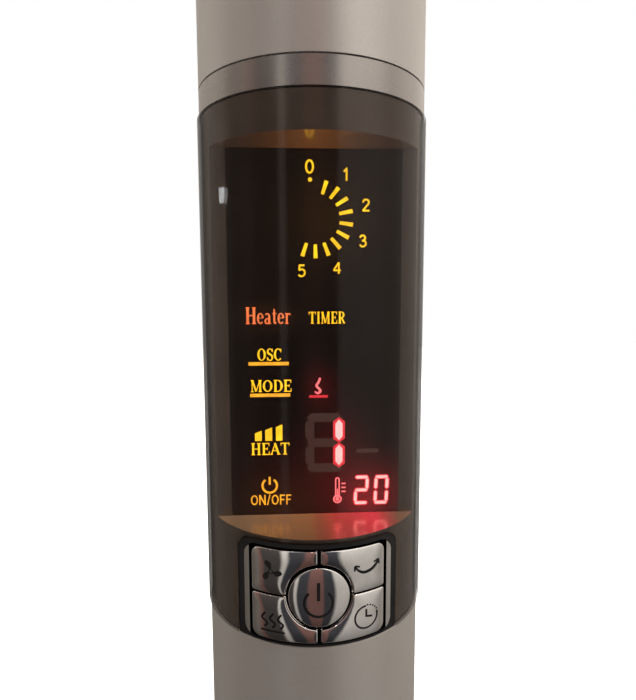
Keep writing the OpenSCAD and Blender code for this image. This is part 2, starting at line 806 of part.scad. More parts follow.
// Centres of the five keys as (x, height above the cover's bottom edge), the power key first
function key_centres() = [
    [0, key_mid],
    [-key_side_x, key_mid + key_rise], [key_side_x, key_mid + key_rise],
    [-key_side_x, key_mid - key_rise], [key_side_x, key_mid - key_rise]
];

module key_board() {
    color([0.05, 0.28, 0.12]) block([-key_board_half_w, key_board_y, cover_z + 1],
        [key_board_half_w, key_board_y + board_t, pocket_floor - frame_t - 0.5]);
}

module tact_switches() {
    color([0.12, 0.12, 0.12]) for (p = key_centres())
        translate([p[0], key_board_y - tact_h / 2, cover_z + p[1]])
            cube([tact_w, tact_h - 0.02, tact_w], center = true);
}

// One of the four outer keys: side is -1 left or 1 right, level is -1 lower or 1 upper
module outer_key(side, level) {
    split_z = cover_z + key_mid;
    z_a = level > 0 ? split_z + key_gap / 2 : cover_z + key_low;
    z_b = level > 0 ? cover_z + key_high : split_z - key_gap / 2;
    x_a = side > 0 ? key_gap / 2 + 0.3 : -key_half_w;
    x_b = side > 0 ? key_half_w : -key_gap / 2 - 0.3;
    inner_x = side > 0 ? x_a : x_a + key_round;
    inner_z = level > 0 ? z_a : z_a + key_round;
    color([0.72, 0.71, 0.70]) {
        difference() {
            intersection() {
                front_arc(key_inner_r, cover_r, cover_z, opening_top, 60);
                front_extrude(-cover_r - 1, 0) union() {
                    round_rect(x_a, z_a, x_b, z_b, key_round);
                    translate([inner_x, z_a]) square([x_b - x_a - key_round, z_b - z_a]);
                    translate([x_a, inner_z]) square([x_b - x_a, z_b - z_a - key_round]);
                }
            }
            y_cylinder(ring_cut_r, 0, -cover_r - 1, cover_z + key_mid, cover_r);
        }
        stem(side * key_side_x, key_mid + level * key_rise);
    }
}

module stem(x, height) {
    front_y = -sqrt(pow(key_inner_r + 1, 2) - pow(x, 2));
    y_cylinder(stem_r, x, front_y, cover_z + height, stem_end_y - front_y);
}

module power_key() {
    color([0.72, 0.71, 0.70]) {
        intersection() {
            front_arc(key_inner_r, cover_r, cover_z, opening_top, 60);
            y_cylinder(centre_key_r, 0, -cover_r - 1, cover_z + key_mid, cover_r);
        }
        stem(0, key_mid);
    }
}

module mode_key() {
    outer_key(-1, 1);
}

module oscillation_key() {
    outer_key(1, 1);
}

module heat_key() {
    outer_key(-1, -1);
}

module timer_key() {
    outer_key(1, -1);
}

// ---------------------------------------------------------------- warm air side

module front_grille() {
    half = outlet_half - asin(panel_gap / column_r);
    z = outlet_z + panel_gap;
    h = outlet_top - outlet_z - 2 * panel_gap;
    border_angle = border / column_r * 180 / PI;
    slats = floor((h - 2 * border) / louvre_pitch);
    first = z + (h - slats * louvre_pitch + louvre_pitch - louvre_h) / 2;
    grille_in = inner_r - 0.1;
    grille_out = column_r - 0.4;
    color([0.10, 0.10, 0.10]) {
        difference() {
            front_arc(grille_in, grille_out, z, h, half);
            front_arc(grille_in - 1, grille_out + 1, z + border, h - 2 * border, half - border_angle);
        }
        for (i = [0:slats - 1])
            front_arc(grille_in + 0.4, grille_out - 0.4, first + i * louvre_pitch, louvre_h,
                half - border_angle / 2);
        for (a = [-1, 0, 1]) rotate([0, 0, a * half / 2])
            front_arc(grille_in + 0.2, grille_in + 1.2, z + border / 2, h - border, 1.2);
    }
}

module element_frame() {
    color([0.80, 0.78, 0.72]) difference() {
        block([-element_half_w, element_y, element_z - 4],
            [element_half_w, element_back_y, element_top + 4]);
        block([-element_half_w + 1.5, element_y - 1, element_z],
            [element_half_w - 1.5, element_back_y + 1, element_top]);
        for (i = [-1, 0, 1]) translate([i * element_half_w / 2, (element_y + element_back_y) / 2, 0])
            cylinder(r = 1.6, h = element_z + 1);
    }
}

module element_stones() {
    color([0.86, 0.84, 0.78]) for (i = [0:stone_count - 1])
        translate([-element_half_w + 1.5 + (i + 0.5) * stone_pitch - stone_w / 2,
            element_y + 3, element_z + 0.05])
            cube([stone_w, element_t - 6, element_h - 0.1]);
}

module element_fins() {
    fins = floor((element_h - 4) / fin_pitch);
    low = element_z + (element_h - (fins - 1) * fin_pitch - fin_t) / 2;
    color([0.75, 0.76, 0.78]) difference() {
        union() {
            for (i = [0:fins - 1]) translate([-element_half_w + 1.6, element_y + 1, low + i * fin_pitch])
                cube([2 * element_half_w - 3.2, element_t - 2, fin_t]);
            for (i = [0:stone_count - 1], s = [-1, 1])
                translate([-element_half_w + 1.5 + (i + 0.5) * stone_pitch - 0.4
                    + s * (stone_w / 2 + 0.45), element_y + 1, low])
                    cube([0.8, element_t - 2, (fins - 1) * fin_pitch + fin_t]);
        }
        for (i = [0:stone_count - 1])
            translate([-element_half_w + 1.5 + (i + 0.5) * stone_pitch - stone_w / 2 - 0.05,
                element_y, element_z])
                cube([stone_w + 0.1, element_t, element_h]);
    }
}

module thermal_cutout() {
    z = element_top + 4;
    y = (element_y + element_back_y) / 2;
    color([0.15, 0.13, 0.12]) {
        translate([0, y, z]) cylinder(r = 8, h = 6);
        for (s = [-1, 1]) block([s * 4.5 - 1.5, y - 0.4, z + 5.9], [s * 4.5 + 1.5, y + 0.4, z + 11]);
    }
}

module air_duct() {
    low = bracket_z + bracket_t;
    high = bearing_z;
    plate_y = element_back_y + 0.2;
    out_r = scroll_r + duct_t;
    inset = 0.3;
    color([0.25, 0.25, 0.26]) {
        for (z = [low, high - duct_t]) translate([0, 0, z]) difference() {
            block([inset - out_r, plate_y, 0], [out_r - inset, fan_y + 12, duct_t]);
            translate([0, fan_y, -1]) cylinder(r = shaft_r + 4, h = duct_t + 2);
        }
        for (s = [-1, 1])
            block([s * (scroll_r + duct_t / 2) - duct_t / 2, plate_y + inset, low + inset],
                [s * (scroll_r + duct_t / 2) + duct_t / 2, fan_y + 0.5, high - inset]);
        for (span = [[0, 28], [120, 60]]) translate([0, fan_y, 0]) rotate([0, 0, span[0]])
            rotate_extrude(angle = span[1]) translate([scroll_r + 0.2, low + 2 * inset])
                square([duct_t - 0.4, high - low - 4 * inset]);
    }
}

module fan_motor() {
    color([0.35, 0.36, 0.38]) difference() {
        union() {
            translate([0, fan_y, motor_z]) cylinder(r = motor_r, h = motor_h - 0.05);
            translate([0, fan_y, motor_z]) cylinder(r = 6, h = motor_h + bracket_t - 0.5);
        }
        translate([0, fan_y, motor_z + 4]) cylinder(r = shaft_r + running, h = motor_h * 2);
    }
}

module motor_bracket() {
    color([0.7, 0.71, 0.73]) translate([0, 0, bracket_z]) difference() {
        intersection() {
            cylinder(r = inner_r - 0.2, h = bracket_t);
            block([-column_r, element_back_y + 1, -1], [column_r, column_r, bracket_t + 1]);
        }
        translate([0, fan_y, -1]) cylinder(r = 6.3, h = bracket_t + 2);
        grille_notch();
        for (s = [-1, 1]) y_cylinder(boss_r + 0.3, s * boss_x, -column_r, screw_rows[3] - bracket_z,
            2 * column_r);
    }
}

module bearing_plate() {
    color([0.7, 0.71, 0.73]) translate([0, 0, bearing_z]) difference() {
        intersection() {
            cylinder(r = inner_r - 0.2, h = bracket_t);
            block([-column_r, element_back_y + 1, -1], [column_r, column_r, bracket_t + 1]);
        }
        translate([0, fan_y, -1]) cylinder(r = shaft_r + 4, h = bracket_t + 2);
        grille_notch();
    }
}

module upper_bearing() {
    color([0.75, 0.6, 0.3]) translate([0, fan_y, bearing_z - duct_t]) difference() {
        union() {
            cylinder(r = shaft_r + 3.9, h = duct_t + bracket_t + 3);
            translate([0, 0, duct_t + bracket_t + 0.05]) cylinder(r = shaft_r + 6, h = 2);
        }
        translate([0, 0, -1]) cylinder(r = shaft_r + running, h = 12);
    }
}

module impeller() {
    blade_arc_r = fan_r * 0.27;
    disc_t = 1.5;
    discs = 4;
    color([0.16, 0.16, 0.18]) translate([0, fan_y, fan_z]) {
        difference() {
            union() {
                for (i = [0:discs]) translate([0, 0, i * (fan_h - disc_t) / discs]) difference() {
                    cylinder(r = fan_r - 0.3, h = disc_t);
                    if (i > 0 && i < discs) translate([0, 0, -1])
                        cylinder(r = fan_r * 0.72, h = disc_t + 2);
                }
                cylinder(r = shaft_r + 3, h = hub_h);
                translate([0, 0, fan_h - hub_h]) cylinder(r = shaft_r + 3, h = hub_h);
            }
            translate([0, 0, -1]) cylinder(r = shaft_r + 0.01, h = fan_h + 2);
        }
        for (i = [0:blade_count - 1]) rotate([0, 0, i * 360 / blade_count])
            translate([fan_r * 0.76, -blade_arc_r, 0.5]) rotate([0, 0, 42])
                rotate_extrude(angle = 54) translate([blade_arc_r, 0]) square([blade_t, fan_h - 1]);
    }
}

module fan_shaft() {
    low = motor_z + 6;
    color([0.8, 0.8, 0.82]) translate([0, fan_y, low])
        cylinder(r = shaft_r, h = bearing_z + bracket_t + 4 - low);
}

// ---------------------------------------------------------------- rear side

module rear_grille() {
    out_r = grille_out_r;
    z = outlet_z - 3;
    h = outlet_top - outlet_z + 6;
    half = grille_half;
    border_angle = border / inner_r * 180 / PI;
    pitch = 9;
    bars = floor((h - 2 * border) / pitch);
    first = z + (h - bars * pitch + pitch - louvre_h) / 2;
    color([0.12, 0.12, 0.12]) {
        difference() {
            rear_arc(out_r - grille_t, out_r, z, h, half);
            rear_arc(out_r - 4, out_r + 1, z + border, h - 2 * border, half - border_angle);
        }
        for (i = [0:bars - 1])
            rear_arc(out_r - 1.9, out_r - 0.5, first + i * pitch, louvre_h, half - border_angle / 2);
        for (a = [-2:2]) rotate([0, 0, a * half / 3])
            rear_arc(out_r - 1.7, out_r - 0.8, z + border / 2, h - border, 1);
    }
}

module filter_frame() {
    in_r = inner_r + 0.3;
    out_r = column_r - 0.3;
    color([0.62, 0.60, 0.57]) {
        difference() {
            rear_arc(in_r, out_r, filter_z, filter_h, filter_half);
            rear_arc(in_r - 1, out_r + 1, filter_z + border, filter_h - 2 * border,
                filter_half - filter_border_angle);
            rear_arc(mesh_r - 0.05, mesh_r + mesh_t + 0.05, mesh_z - 0.1, mesh_h + 0.2,
                mesh_half + 0.1);
        }
        for (i = [1:5])
            rear_arc(mesh_r + mesh_t + 0.1, out_r - 0.2, filter_z + i * filter_h / 6 - 1, 2,
                filter_half - 1);
        for (a = [-1, 0, 1]) rotate([0, 0, a * filter_half / 2])
            rear_arc(mesh_r + mesh_t + 0.2, out_r - 0.3, filter_z + 1, filter_h - 2, 1.1);
        rear_arc(mesh_r + mesh_t + 0.1, out_r - 0.1, filter_z + filter_h - 18, 16, 11);
    }
}

module filter_mesh() {
    color([0.2, 0.2, 0.2]) rear_arc(mesh_r, mesh_r + mesh_t, mesh_z, mesh_h, mesh_half);
}

module grip_cup() {
    wall_t = 2;
    color([0.12, 0.12, 0.12]) difference() {
        intersection() {
            block([-grip_w / 2, column_r - grip_d - wall_t, grip_z], [grip_w / 2, column_r, grip_top]);
            translate([0, 0, grip_z]) cylinder(r = column_r - 0.2, h = grip_h);
        }
        block([-grip_w / 2 + wall_t, column_r - grip_d, grip_z + wall_t],
            [grip_w / 2 - wall_t, column_r + 1, grip_top - wall_t]);
    }
}

module top_cap() {
    dish_r = column_r - 14;
    color([0.60, 0.57, 0.54]) rotate_extrude() {
        polygon(concat(
            [[0, cap_z], [column_r, cap_z]],
            [for (a = [0:10:90]) [column_r - cap_round * (1 - cos(a)), top_z - cap_round * (1 - sin(a))]],
            [[dish_r + 1.5, top_z], [dish_r, top_z - 1.5], [0, top_z - 1.5]]));
        translate([inner_r - 3, cap_z - 5]) square([2.6, 5 + eps]);
    }
}

module shell_screws() {
    color([0.3, 0.3, 0.31]) for (z = screw_rows, s = [-1, 1])
        translate([s * boss_x, 10, z]) rotate([-90, 0, 0]) pan_screw(19);
}

module main_board() {
    y = 4;
    half_w = boss_x - boss_r - 2;
    low = cover_z + 50;
    high = cover_top - 54;
    color([0.05, 0.28, 0.12]) block([-half_w, y, low], [half_w, y + board_t, high]);
    color([0.15, 0.15, 0.16]) {
        for (x = [-18, 0, 18]) block([x - 7.5, y + board_t, high - 32], [x + 7.5, y + 17, high - 12]);
        block([-24, y + board_t, low + 12], [4, y + 26, low + 40]);
        translate([16, y + board_t, low + 24]) rotate([-90, 0, 0]) cylinder(r = 8, h = 22);
        translate([16, y + board_t, low + 46]) rotate([-90, 0, 0]) cylinder(r = 5, h = 14);
        block([-22, y + board_t, low + 56], [-4, y + 6, low + 74]);
    }
}

module wire(r, points) {
    for (i = [0:len(points) - 2]) {
        d = points[i + 1] - points[i];
        length = norm(d);
        translate(points[i]) rotate([0, acos(d[2] / length), atan2(d[1], d[0])])
            cylinder(r = r, h = length, $fn = 24);
        translate(points[i + 1]) sphere(r = r + 0.1, $fn = 24);
    }
}

module heater_leads() {
    element_mid = (element_y + element_back_y) / 2;
    start_z = cover_top - 60;
    colours = [[0.75, 0.1, 0.08], [0.1, 0.1, 0.1], [0.85, 0.85, 0.82]];
    for (i = [-1:1]) color(colours[i + 1]) wire(1.3, [
        [i * 8, 2.6, start_z], [i * 8, -4, start_z + 12], [i * 8, -4, cover_top - 2],
        [i * element_half_w / 2, element_mid, band_top + 16],
        [i * element_half_w / 2, element_mid, element_z - 1.6]
    ]);
}

// ---------------------------------------------------------------- main switch

module main_switch() {
    color([0.05, 0.05, 0.05]) difference() {
        union() {
            block([-switch_w / 2, switch_y, main_switch_z - switch_h / 2],
                [switch_w / 2, column_r + 1.3, main_switch_z + switch_h / 2]);
            block([-switch_w / 2 + 1.3, column_r - 18, main_switch_z - switch_h / 2 + 1.3],
                [switch_w / 2 - 1.3, switch_y + eps, main_switch_z + switch_h / 2 - 1.3]);
        }
        block([-switch_w / 2 + 2.6, column_r - 14, main_switch_z - switch_h / 2 + 2.6],
            [switch_w / 2 - 2.6, column_r + 3, main_switch_z + switch_h / 2 - 2.6]);
        x_cylinder(rocker_pin_r + running, 0, rocker_y, main_switch_z, switch_w - 3.4);
    }
}

// Rocker with its lower half pressed in, pivoting about X
module main_rocker() {
    half_h = rocker_r * 0.98;
    rise = 3.8;
    lift = half_h * tan(rocker_tilt);
    color([0.75, 0.08, 0.06]) union() {
        translate([0, rocker_y, main_switch_z]) rotate([-rocker_tilt, 0, 0])
            translate([-switch_w / 2 + 3, 0, 0]) rotate([90, 0, 90]) linear_extrude(switch_w - 6)
                polygon([[-4, -4], [-4, 4], [1, half_h], [rise + lift, half_h], [rise, 0],
                    [rise + lift, -half_h], [1, -half_h]]);
        x_cylinder(rocker_pin_r, 0, rocker_y, main_switch_z, switch_w - 4);
    }
}

// ---------------------------------------------------------------- nodes

base_housing();
base_plate();
base_weight();
rubber_feet();
base_screws();
pivot_bush();
glide_washer();
osc_motor();
osc_motor_screws();
osc_pinion();
cord_gland();
tip_switch();
tip_spring();
tip_plunger();
turntable();
sector_gear();
spindle_nut();
rear_shell();
lower_front_cover();
upper_front_cover();
trim_ring();
smoke_cover();
display_frame();
display_mask();
light_box();
display_board();
display_leds();
key_surround();
key_bezel();
key_board();
tact_switches();
power_key();
mode_key();
oscillation_key();
heat_key();
timer_key();
front_grille();
element_frame();
element_stones();
element_fins();
thermal_cutout();
air_duct();
fan_motor();
motor_bracket();
bearing_plate();
upper_bearing();
impeller();
fan_shaft();
rear_grille();
filter_frame();
filter_mesh();
grip_cup();
top_cap();
shell_screws();
main_board();
heater_leads();
main_switch();
main_rocker();
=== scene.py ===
import math

import bmesh
import bpy
from mathutils import Matrix, Vector


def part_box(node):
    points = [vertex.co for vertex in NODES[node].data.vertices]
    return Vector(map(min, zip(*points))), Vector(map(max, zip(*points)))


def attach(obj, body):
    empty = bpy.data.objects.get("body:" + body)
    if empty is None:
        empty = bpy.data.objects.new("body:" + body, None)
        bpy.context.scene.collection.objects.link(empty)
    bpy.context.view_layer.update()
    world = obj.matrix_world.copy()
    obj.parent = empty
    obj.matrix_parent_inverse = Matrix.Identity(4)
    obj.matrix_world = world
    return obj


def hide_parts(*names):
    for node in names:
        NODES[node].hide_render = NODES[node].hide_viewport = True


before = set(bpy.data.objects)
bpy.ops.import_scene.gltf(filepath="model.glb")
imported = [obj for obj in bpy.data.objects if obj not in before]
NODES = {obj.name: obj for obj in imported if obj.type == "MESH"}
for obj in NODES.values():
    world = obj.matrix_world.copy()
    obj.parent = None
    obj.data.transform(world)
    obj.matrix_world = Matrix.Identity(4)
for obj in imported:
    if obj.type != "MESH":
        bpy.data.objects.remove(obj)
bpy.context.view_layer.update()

# Everything is in metres, in the row frame: Z up, the display faces -Y. MM turns the display's
# millimetre layout into metres.
MM = 0.001

# Read off the CAD: the cover's bottom edge and radius, the plane of the lit figures, and the
# heights of the ledges under and over it, a hair outside the mask.
cover_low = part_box("smoke_cover")[0]
mask_low, mask_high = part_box("display_mask")
LEDGE_GAP = 0.0001
COVER_Z = cover_low.z
COVER_R = -cover_low.y
MASK_Y = mask_low.y
LEDGE_Z = mask_low.z - LEDGE_GAP
ROOF_Z = mask_high.z + LEDGE_GAP


# ---------------------------------------------------------------- camera
# The camera stands close in front, a little to the left of the display and above its middle. Its
# place is measured from the column's axis at the height of the cover's bottom edge. It looks
# slightly down and to the right. Its focal length is a share of the picture's height.
CAMERA_FROM_COVER = (-12.175 * MM, -278.861 * MM, 157.4 * MM)
PITCH = math.radians(6.213)
YAW = math.radians(3.059)
ROLL = math.radians(-0.197)
SENSOR = 36.0
FOCAL_SHARE = 0.7687
CLIP_NEAR, CLIP_FAR = 0.01, 50


def make_camera():
    data = bpy.data.cameras.new("camera")
    data.sensor_width = SENSOR
    data.lens = FOCAL_SHARE * SENSOR
    data.clip_start, data.clip_end = CLIP_NEAR, CLIP_FAR
    camera = bpy.data.objects.new("camera", data)
    bpy.context.scene.collection.objects.link(camera)
    forward = Vector((math.sin(YAW) * math.cos(PITCH), math.cos(YAW) * math.cos(PITCH),
                      -math.sin(PITCH)))
    right = forward.cross(Vector((0, 0, 1))).normalized()
    up = right.cross(forward)
    right_rolled = right * math.cos(ROLL) + up * math.sin(ROLL)
    up_rolled = -right * math.sin(ROLL) + up * math.cos(ROLL)
    x, y, z = CAMERA_FROM_COVER
    place = Matrix((right_rolled, up_rolled, -forward)).transposed().to_4x4()
    place.translation = Vector((x, y, COVER_Z + z))
    camera.matrix_world = place
    bpy.context.scene.camera = camera


make_camera()


# ---------------------------------------------------------------- material graphs
class Graph:
    """One node material with a Principled shader, and short calls to add nodes to it."""

    def __init__(self, name, **sockets):
        self.material = bpy.data.materials.new(name)
        self.material.use_nodes = True
        self.tree = self.material.node_tree
        self.tree.nodes.clear()
        output = self.tree.nodes.new("ShaderNodeOutputMaterial")
        self.shader = self.tree.nodes.new("ShaderNodeBsdfPrincipled")
        self.tree.links.new(self.shader.outputs[0], output.inputs["Surface"])
        self.place = self.tree.nodes.new("ShaderNodeTexCoord").outputs["Object"]
        for key, value in sockets.items():
            self.set(key.replace("_", " "), value)

    def set(self, name, value):
        socket = self.shader.inputs[name]
        if isinstance(value, bpy.types.NodeSocket):
            self.tree.links.new(value, socket)
        elif isinstance(value, tuple) and len(value) == 3:
            socket.default_value = (*value, 1)
        else:
            socket.default_value = value

    def plug(self, node, index, value):
        if isinstance(value, bpy.types.NodeSocket):
            self.tree.links.new(value, node.inputs[index])
        else:
            node.inputs[index].default_value = value

    def math(self, operation, a, b=0.0):
        node = self.tree.nodes.new("ShaderNodeMath")
        node.operation = operation
        self.plug(node, 0, a)
        self.plug(node, 1, b)
        return node.outputs[0]

    def axes(self):
        node = self.tree.nodes.new("ShaderNodeSeparateXYZ")
        self.tree.links.new(self.place, node.inputs[0])
        return node.outputs

    def from_axis(self):
        """Distance from the column's axis."""
        x, y, _ = self.axes()
        return self.math("SQRT", self.math("ADD", self.math("MULTIPLY", x, x),
                                           self.math("MULTIPLY", y, y)))

    def stretched(self, x, y, z):
        node = self.tree.nodes.new("ShaderNodeMapping")
        node.inputs["Scale"].default_value = (x, y, z)
        self.tree.links.new(self.place, node.inputs["Vector"])
        return node.outputs[0]

    def noise(self, scale, detail=3.0, rough=0.5, place=None):
        node = self.tree.nodes.new("ShaderNodeTexNoise")
        self.tree.links.new(place or self.place, node.inputs["Vector"])
        node.inputs["Scale"].default_value = scale
        node.inputs["Detail"].default_value = detail
        node.inputs["Roughness"].default_value = rough
        return node.outputs[0]

    def cells(self, scale):
        """A random colour for each cell."""
        node = self.tree.nodes.new("ShaderNodeTexVoronoi")
        self.tree.links.new(self.place, node.inputs["Vector"])
        node.inputs["Scale"].default_value = scale
        return node.outputs["Color"]

    def range(self, value, low, high, to_low=0.0, to_high=1.0):
        node = self.tree.nodes.new("ShaderNodeMapRange")
        self.plug(node, 0, value)
        for index, number in enumerate((low, high, to_low, to_high), 1):
            node.inputs[index].default_value = number
        return node.outputs[0]

    def ramp(self, value, *stops):
        node = self.tree.nodes.new("ShaderNodeValToRGB")
        self.plug(node, 0, value)
        line = node.color_ramp.elements
        while len(line) < len(stops):
            line.new(0.5)
        for element, (position, colour) in zip(line, stops):
            element.position = position
            element.color = (*colour, 1)
        return node.outputs[0]

    def tint(self, colour, amount):
        """A colour scaled by a number socket."""
        node = self.tree.nodes.new("ShaderNodeVectorMath")
        node.operation = "SCALE"
        self.plug(node, 0, colour)
        self.plug(node, 3, amount)
        return node.outputs[0]

    def add(self, a, b):
        node = self.tree.nodes.new("ShaderNodeVectorMath")
        node.operation = "ADD"
        self.plug(node, 0, a)
        self.plug(node, 1, b)
        return node.outputs[0]

    def bump(self, height, strength, distance=0.0002, after=None):
        node = self.tree.nodes.new("ShaderNodeBump")
        node.inputs["Strength"].default_value = strength
        node.inputs["Distance"].default_value = distance
        self.plug(node, node.inputs.find("Height"), height)
        if after is not None:
            self.tree.links.new(after, node.inputs["Normal"])
        self.set("Normal", node.outputs[0])
        return node.outputs[0]

    def blob(self, x, z, size_x, size_z):
        """A soft round patch on the display plane, 1 at its centre. Sizes in metres."""
        axes = self.axes()
        across = self.math("DIVIDE", self.math("SUBTRACT", axes[0], x), size_x)
        upward = self.math("DIVIDE", self.math("SUBTRACT", axes[2], z), size_z)
        far = self.math("ADD", self.math("MULTIPLY", across, across),
                        self.math("MULTIPLY", upward, upward))
        return self.math("POWER", math.e, self.math("MULTIPLY", far, -1.0))


def moulded(name, colour, rough, grain=2600, depth=0.25, spread=0.2, **sockets):
    """Moulded plastic: fine eroded grain, slow variation of tone and gloss."""
    g = Graph(name, **sockets)
    tone = g.noise(24, 2)
    lift = tuple(min(1, c * (1 + spread) + 0.004) for c in colour)
    drop = tuple(c * (1 - spread) for c in colour)
    g.set("Base Color", g.ramp(tone, (0.3, drop), (0.7, lift)))
    g.set("Roughness", g.range(g.noise(60, 3), 0.3, 0.7, rough - 0.06, rough + 0.06))
    g.bump(g.noise(grain, 2, 0.6), depth, 0.00006)
    return g.material


def metal(name, colour, rough, brushed=(1, 1, 1), wear=0.12, **sockets):
    """Bare metal with fine directional scratches and uneven gloss."""
    g = Graph(name, Metallic=1.0, **sockets)
    fine = g.noise(900, 3, 0.6, g.stretched(*brushed))
    g.set("Base Color", g.ramp(fine, (0.25, tuple(c * (1 - wear) for c in colour)),
                               (0.75, tuple(min(1, c * (1 + wear)) for c in colour))))
    g.set("Roughness", g.range(fine, 0.3, 0.7, rough * 0.8, min(1, rough * 1.3)))
    g.bump(fine, 0.2, 0.00003)
    return g.material


def silver_paint(name, colour, rough, coat=0.25, metallic=0.72):
    """Satin metallic paint: aluminium flake, slight orange peel, a little handling dust."""
    g = Graph(name, Metallic=metallic, Coat_Weight=coat, Coat_Roughness=0.22)
    flake = g.cells(5200)
    split = g.tree.nodes.new("ShaderNodeSeparateColor")
    g.tree.links.new(flake, split.inputs[0])
    cloud = g.noise(14, 3)
    mixed = g.math("ADD", g.math("MULTIPLY", split.outputs[0], 0.5), g.math("MULTIPLY", cloud, 0.5))
    g.set("Base Color", g.ramp(mixed, (0.25, tuple(c * 0.92 for c in colour)),
                               (0.75, tuple(min(1, c * 1.08) for c in colour))))
    g.set("Roughness", g.range(g.noise(35, 4), 0.3, 0.7, rough - 0.05, rough + 0.05))
    peel = g.bump(g.noise(420, 2), 0.05, 0.0002)
    g.bump(split.outputs[1], 0.06, 0.00002, after=peel)
    return g.material


def glossy_silver(name):
    """The trim ring: smooth metallic lacquer with soft unevenness of gloss."""
    g = Graph(name, Metallic=0.9, Coat_Weight=0.35, Coat_Roughness=0.08)
    cloud = g.noise(30, 3)
    g.set("Base Color", g.ramp(cloud, (0.3, (0.262, 0.236, 0.216)), (0.7, (0.300, 0.272, 0.250))))
    g.set("Roughness", g.range(g.noise(55, 4), 0.3, 0.7, 0.24, 0.31))
    g.bump(g.noise(35, 1), 0.05, 0.0004)
    return g.material


def chrome(name, recess=None):
    """Bright plating over moulded keys: warm, very smooth, with faint waves and finger film.
    Nearer the axis than recess it is painted near-black and not metallic, as shade in the well
    behind the keys."""
    g = Graph(name)
    film = g.noise(120, 4, 0.6)
    bright = g.ramp(film, (0.3, (0.66, 0.63, 0.60)), (0.7, (0.76, 0.73, 0.70)))
    if recess:
        # Painted shade: the part of the bezel nearer the axis than recess is near-black.
        outside = g.math("GREATER_THAN", g.from_axis(), recess)
        g.set("Base Color", g.add(g.tint(bright, outside), (0.006, 0.005, 0.005)))
        g.set("Metallic", outside)
        g.set("Specular IOR Level", g.math("MULTIPLY", outside, 0.5))
    else:
        g.set("Base Color", bright)
        g.set("Metallic", 1.0)
    g.set("Roughness", g.range(film, 0.35, 0.75, 0.03, 0.09))
    g.bump(g.noise(90, 2), 0.10, 0.0003)
    return g.material


# The smoked cover darkens between these distances from its middle plane.
EDGE_ON_FROM, EDGE_ON_TO = 0.0520, 0.0545
ALPHA_FRONT, ALPHA_EDGE = 0.36, 0.9
# How far from a ledge's height its painted glow still shows.
LEDGE_REACH = 0.0012
# Middle and reach of the soft painted patch of light that the dial's lamp makes on the roof ledge.
PATCH_X, PATCH_REACH = -0.001, 0.020


def smoked(name):
    """Brown smoked acrylic: thin to look through in front, darker where it is seen edge on."""
    g = Graph(name, IOR=1.5, Specular_IOR_Level=0.28)
    across = g.math("ABSOLUTE", g.axes()[0])
    g.set("Alpha", g.range(across, EDGE_ON_FROM, EDGE_ON_TO, ALPHA_FRONT, ALPHA_EDGE))
    g.set("Base Color", g.ramp(g.noise(9, 2), (0.3, (0.007, 0.0042, 0.0028)),
                               (0.7, (0.011, 0.0066, 0.0042))))
    g.set("Roughness", g.range(g.noise(50, 4), 0.35, 0.75, 0.02, 0.055))
    g.bump(g.noise(16, 1), 0.02, 0.0006)
    return g.material


def pocket(name):
    """The dark moulding round the display, with painted glow of the lit figures on its ledges."""
    g = Graph(name, Metallic=0.6)
    g.set("Base Color", g.ramp(g.noise(40, 3), (0.3, (0.20, 0.152, 0.120)),
                               (0.7, (0.24, 0.186, 0.148))))
    g.set("Roughness", g.range(g.noise(70, 3), 0.3, 0.7, 0.17, 0.25))
    g.bump(g.noise(300, 2), 0.05, 0.0001)
    axes = g.axes()
    across, deep, upward = axes[0], axes[1], axes[2]
    face = g.tree.nodes.new("ShaderNodeNewGeometry")
    turned = g.tree.nodes.new("ShaderNodeSeparateXYZ")
    g.tree.links.new(face.outputs["Normal"], turned.inputs[0])
    # The floor ledge: painted glow of the figures, orange on the left, red under the temperature
    # figures.
    floor_side = g.math("MULTIPLY", g.range(turned.outputs[2], 0.6, 0.9),
                        g.math("LESS_THAN", g.math("ABSOLUTE", g.math(
                            "SUBTRACT", upward, LEDGE_Z)), LEDGE_REACH))
    hue = g.ramp(g.range(across, -0.040, 0.040), (0.05, (0.62, 0.33, 0.16)),
                 (0.45, (0.95, 0.36, 0.12)), (0.62, (1.7, 0.12, 0.10)),
                 (0.86, (2.1, 0.07, 0.14)), (1.0, (0.62, 0.27, 0.14)))
    near = g.range(deep, -COVER_R, MASK_Y, 0.55, 1.0)
    streak = g.range(g.noise(90, 2, 0.5, g.stretched(1, 0.06, 1)), 0.35, 0.65, 0.72, 1.12)
    floor_glow = g.math("MULTIPLY", g.math("MULTIPLY", near, streak), floor_side)
    # The roof ledge: a soft painted orange glow over the dial's lamp.
    roof_side = g.math("MULTIPLY", g.range(turned.outputs[2], -0.6, -0.9),
                       g.math("LESS_THAN", g.math("ABSOLUTE", g.math(
                           "SUBTRACT", upward, ROOF_Z)), LEDGE_REACH))
    patch_x = g.math("DIVIDE", g.math("SUBTRACT", across, PATCH_X), PATCH_REACH)
    patch = g.math("POWER", math.e, g.math("MULTIPLY", g.math(
        "MULTIPLY", patch_x, patch_x), -1.0))
    roof_glow = g.math("MULTIPLY", roof_side, g.math("ADD", g.math("MULTIPLY", patch, 0.30), 0.035))
    g.set("Emission Color", g.add(g.tint(hue, floor_glow), g.tint((1.0, 0.30, 0.05), roof_glow)))
    g.set("Emission Strength", 0.62)
    return g.material


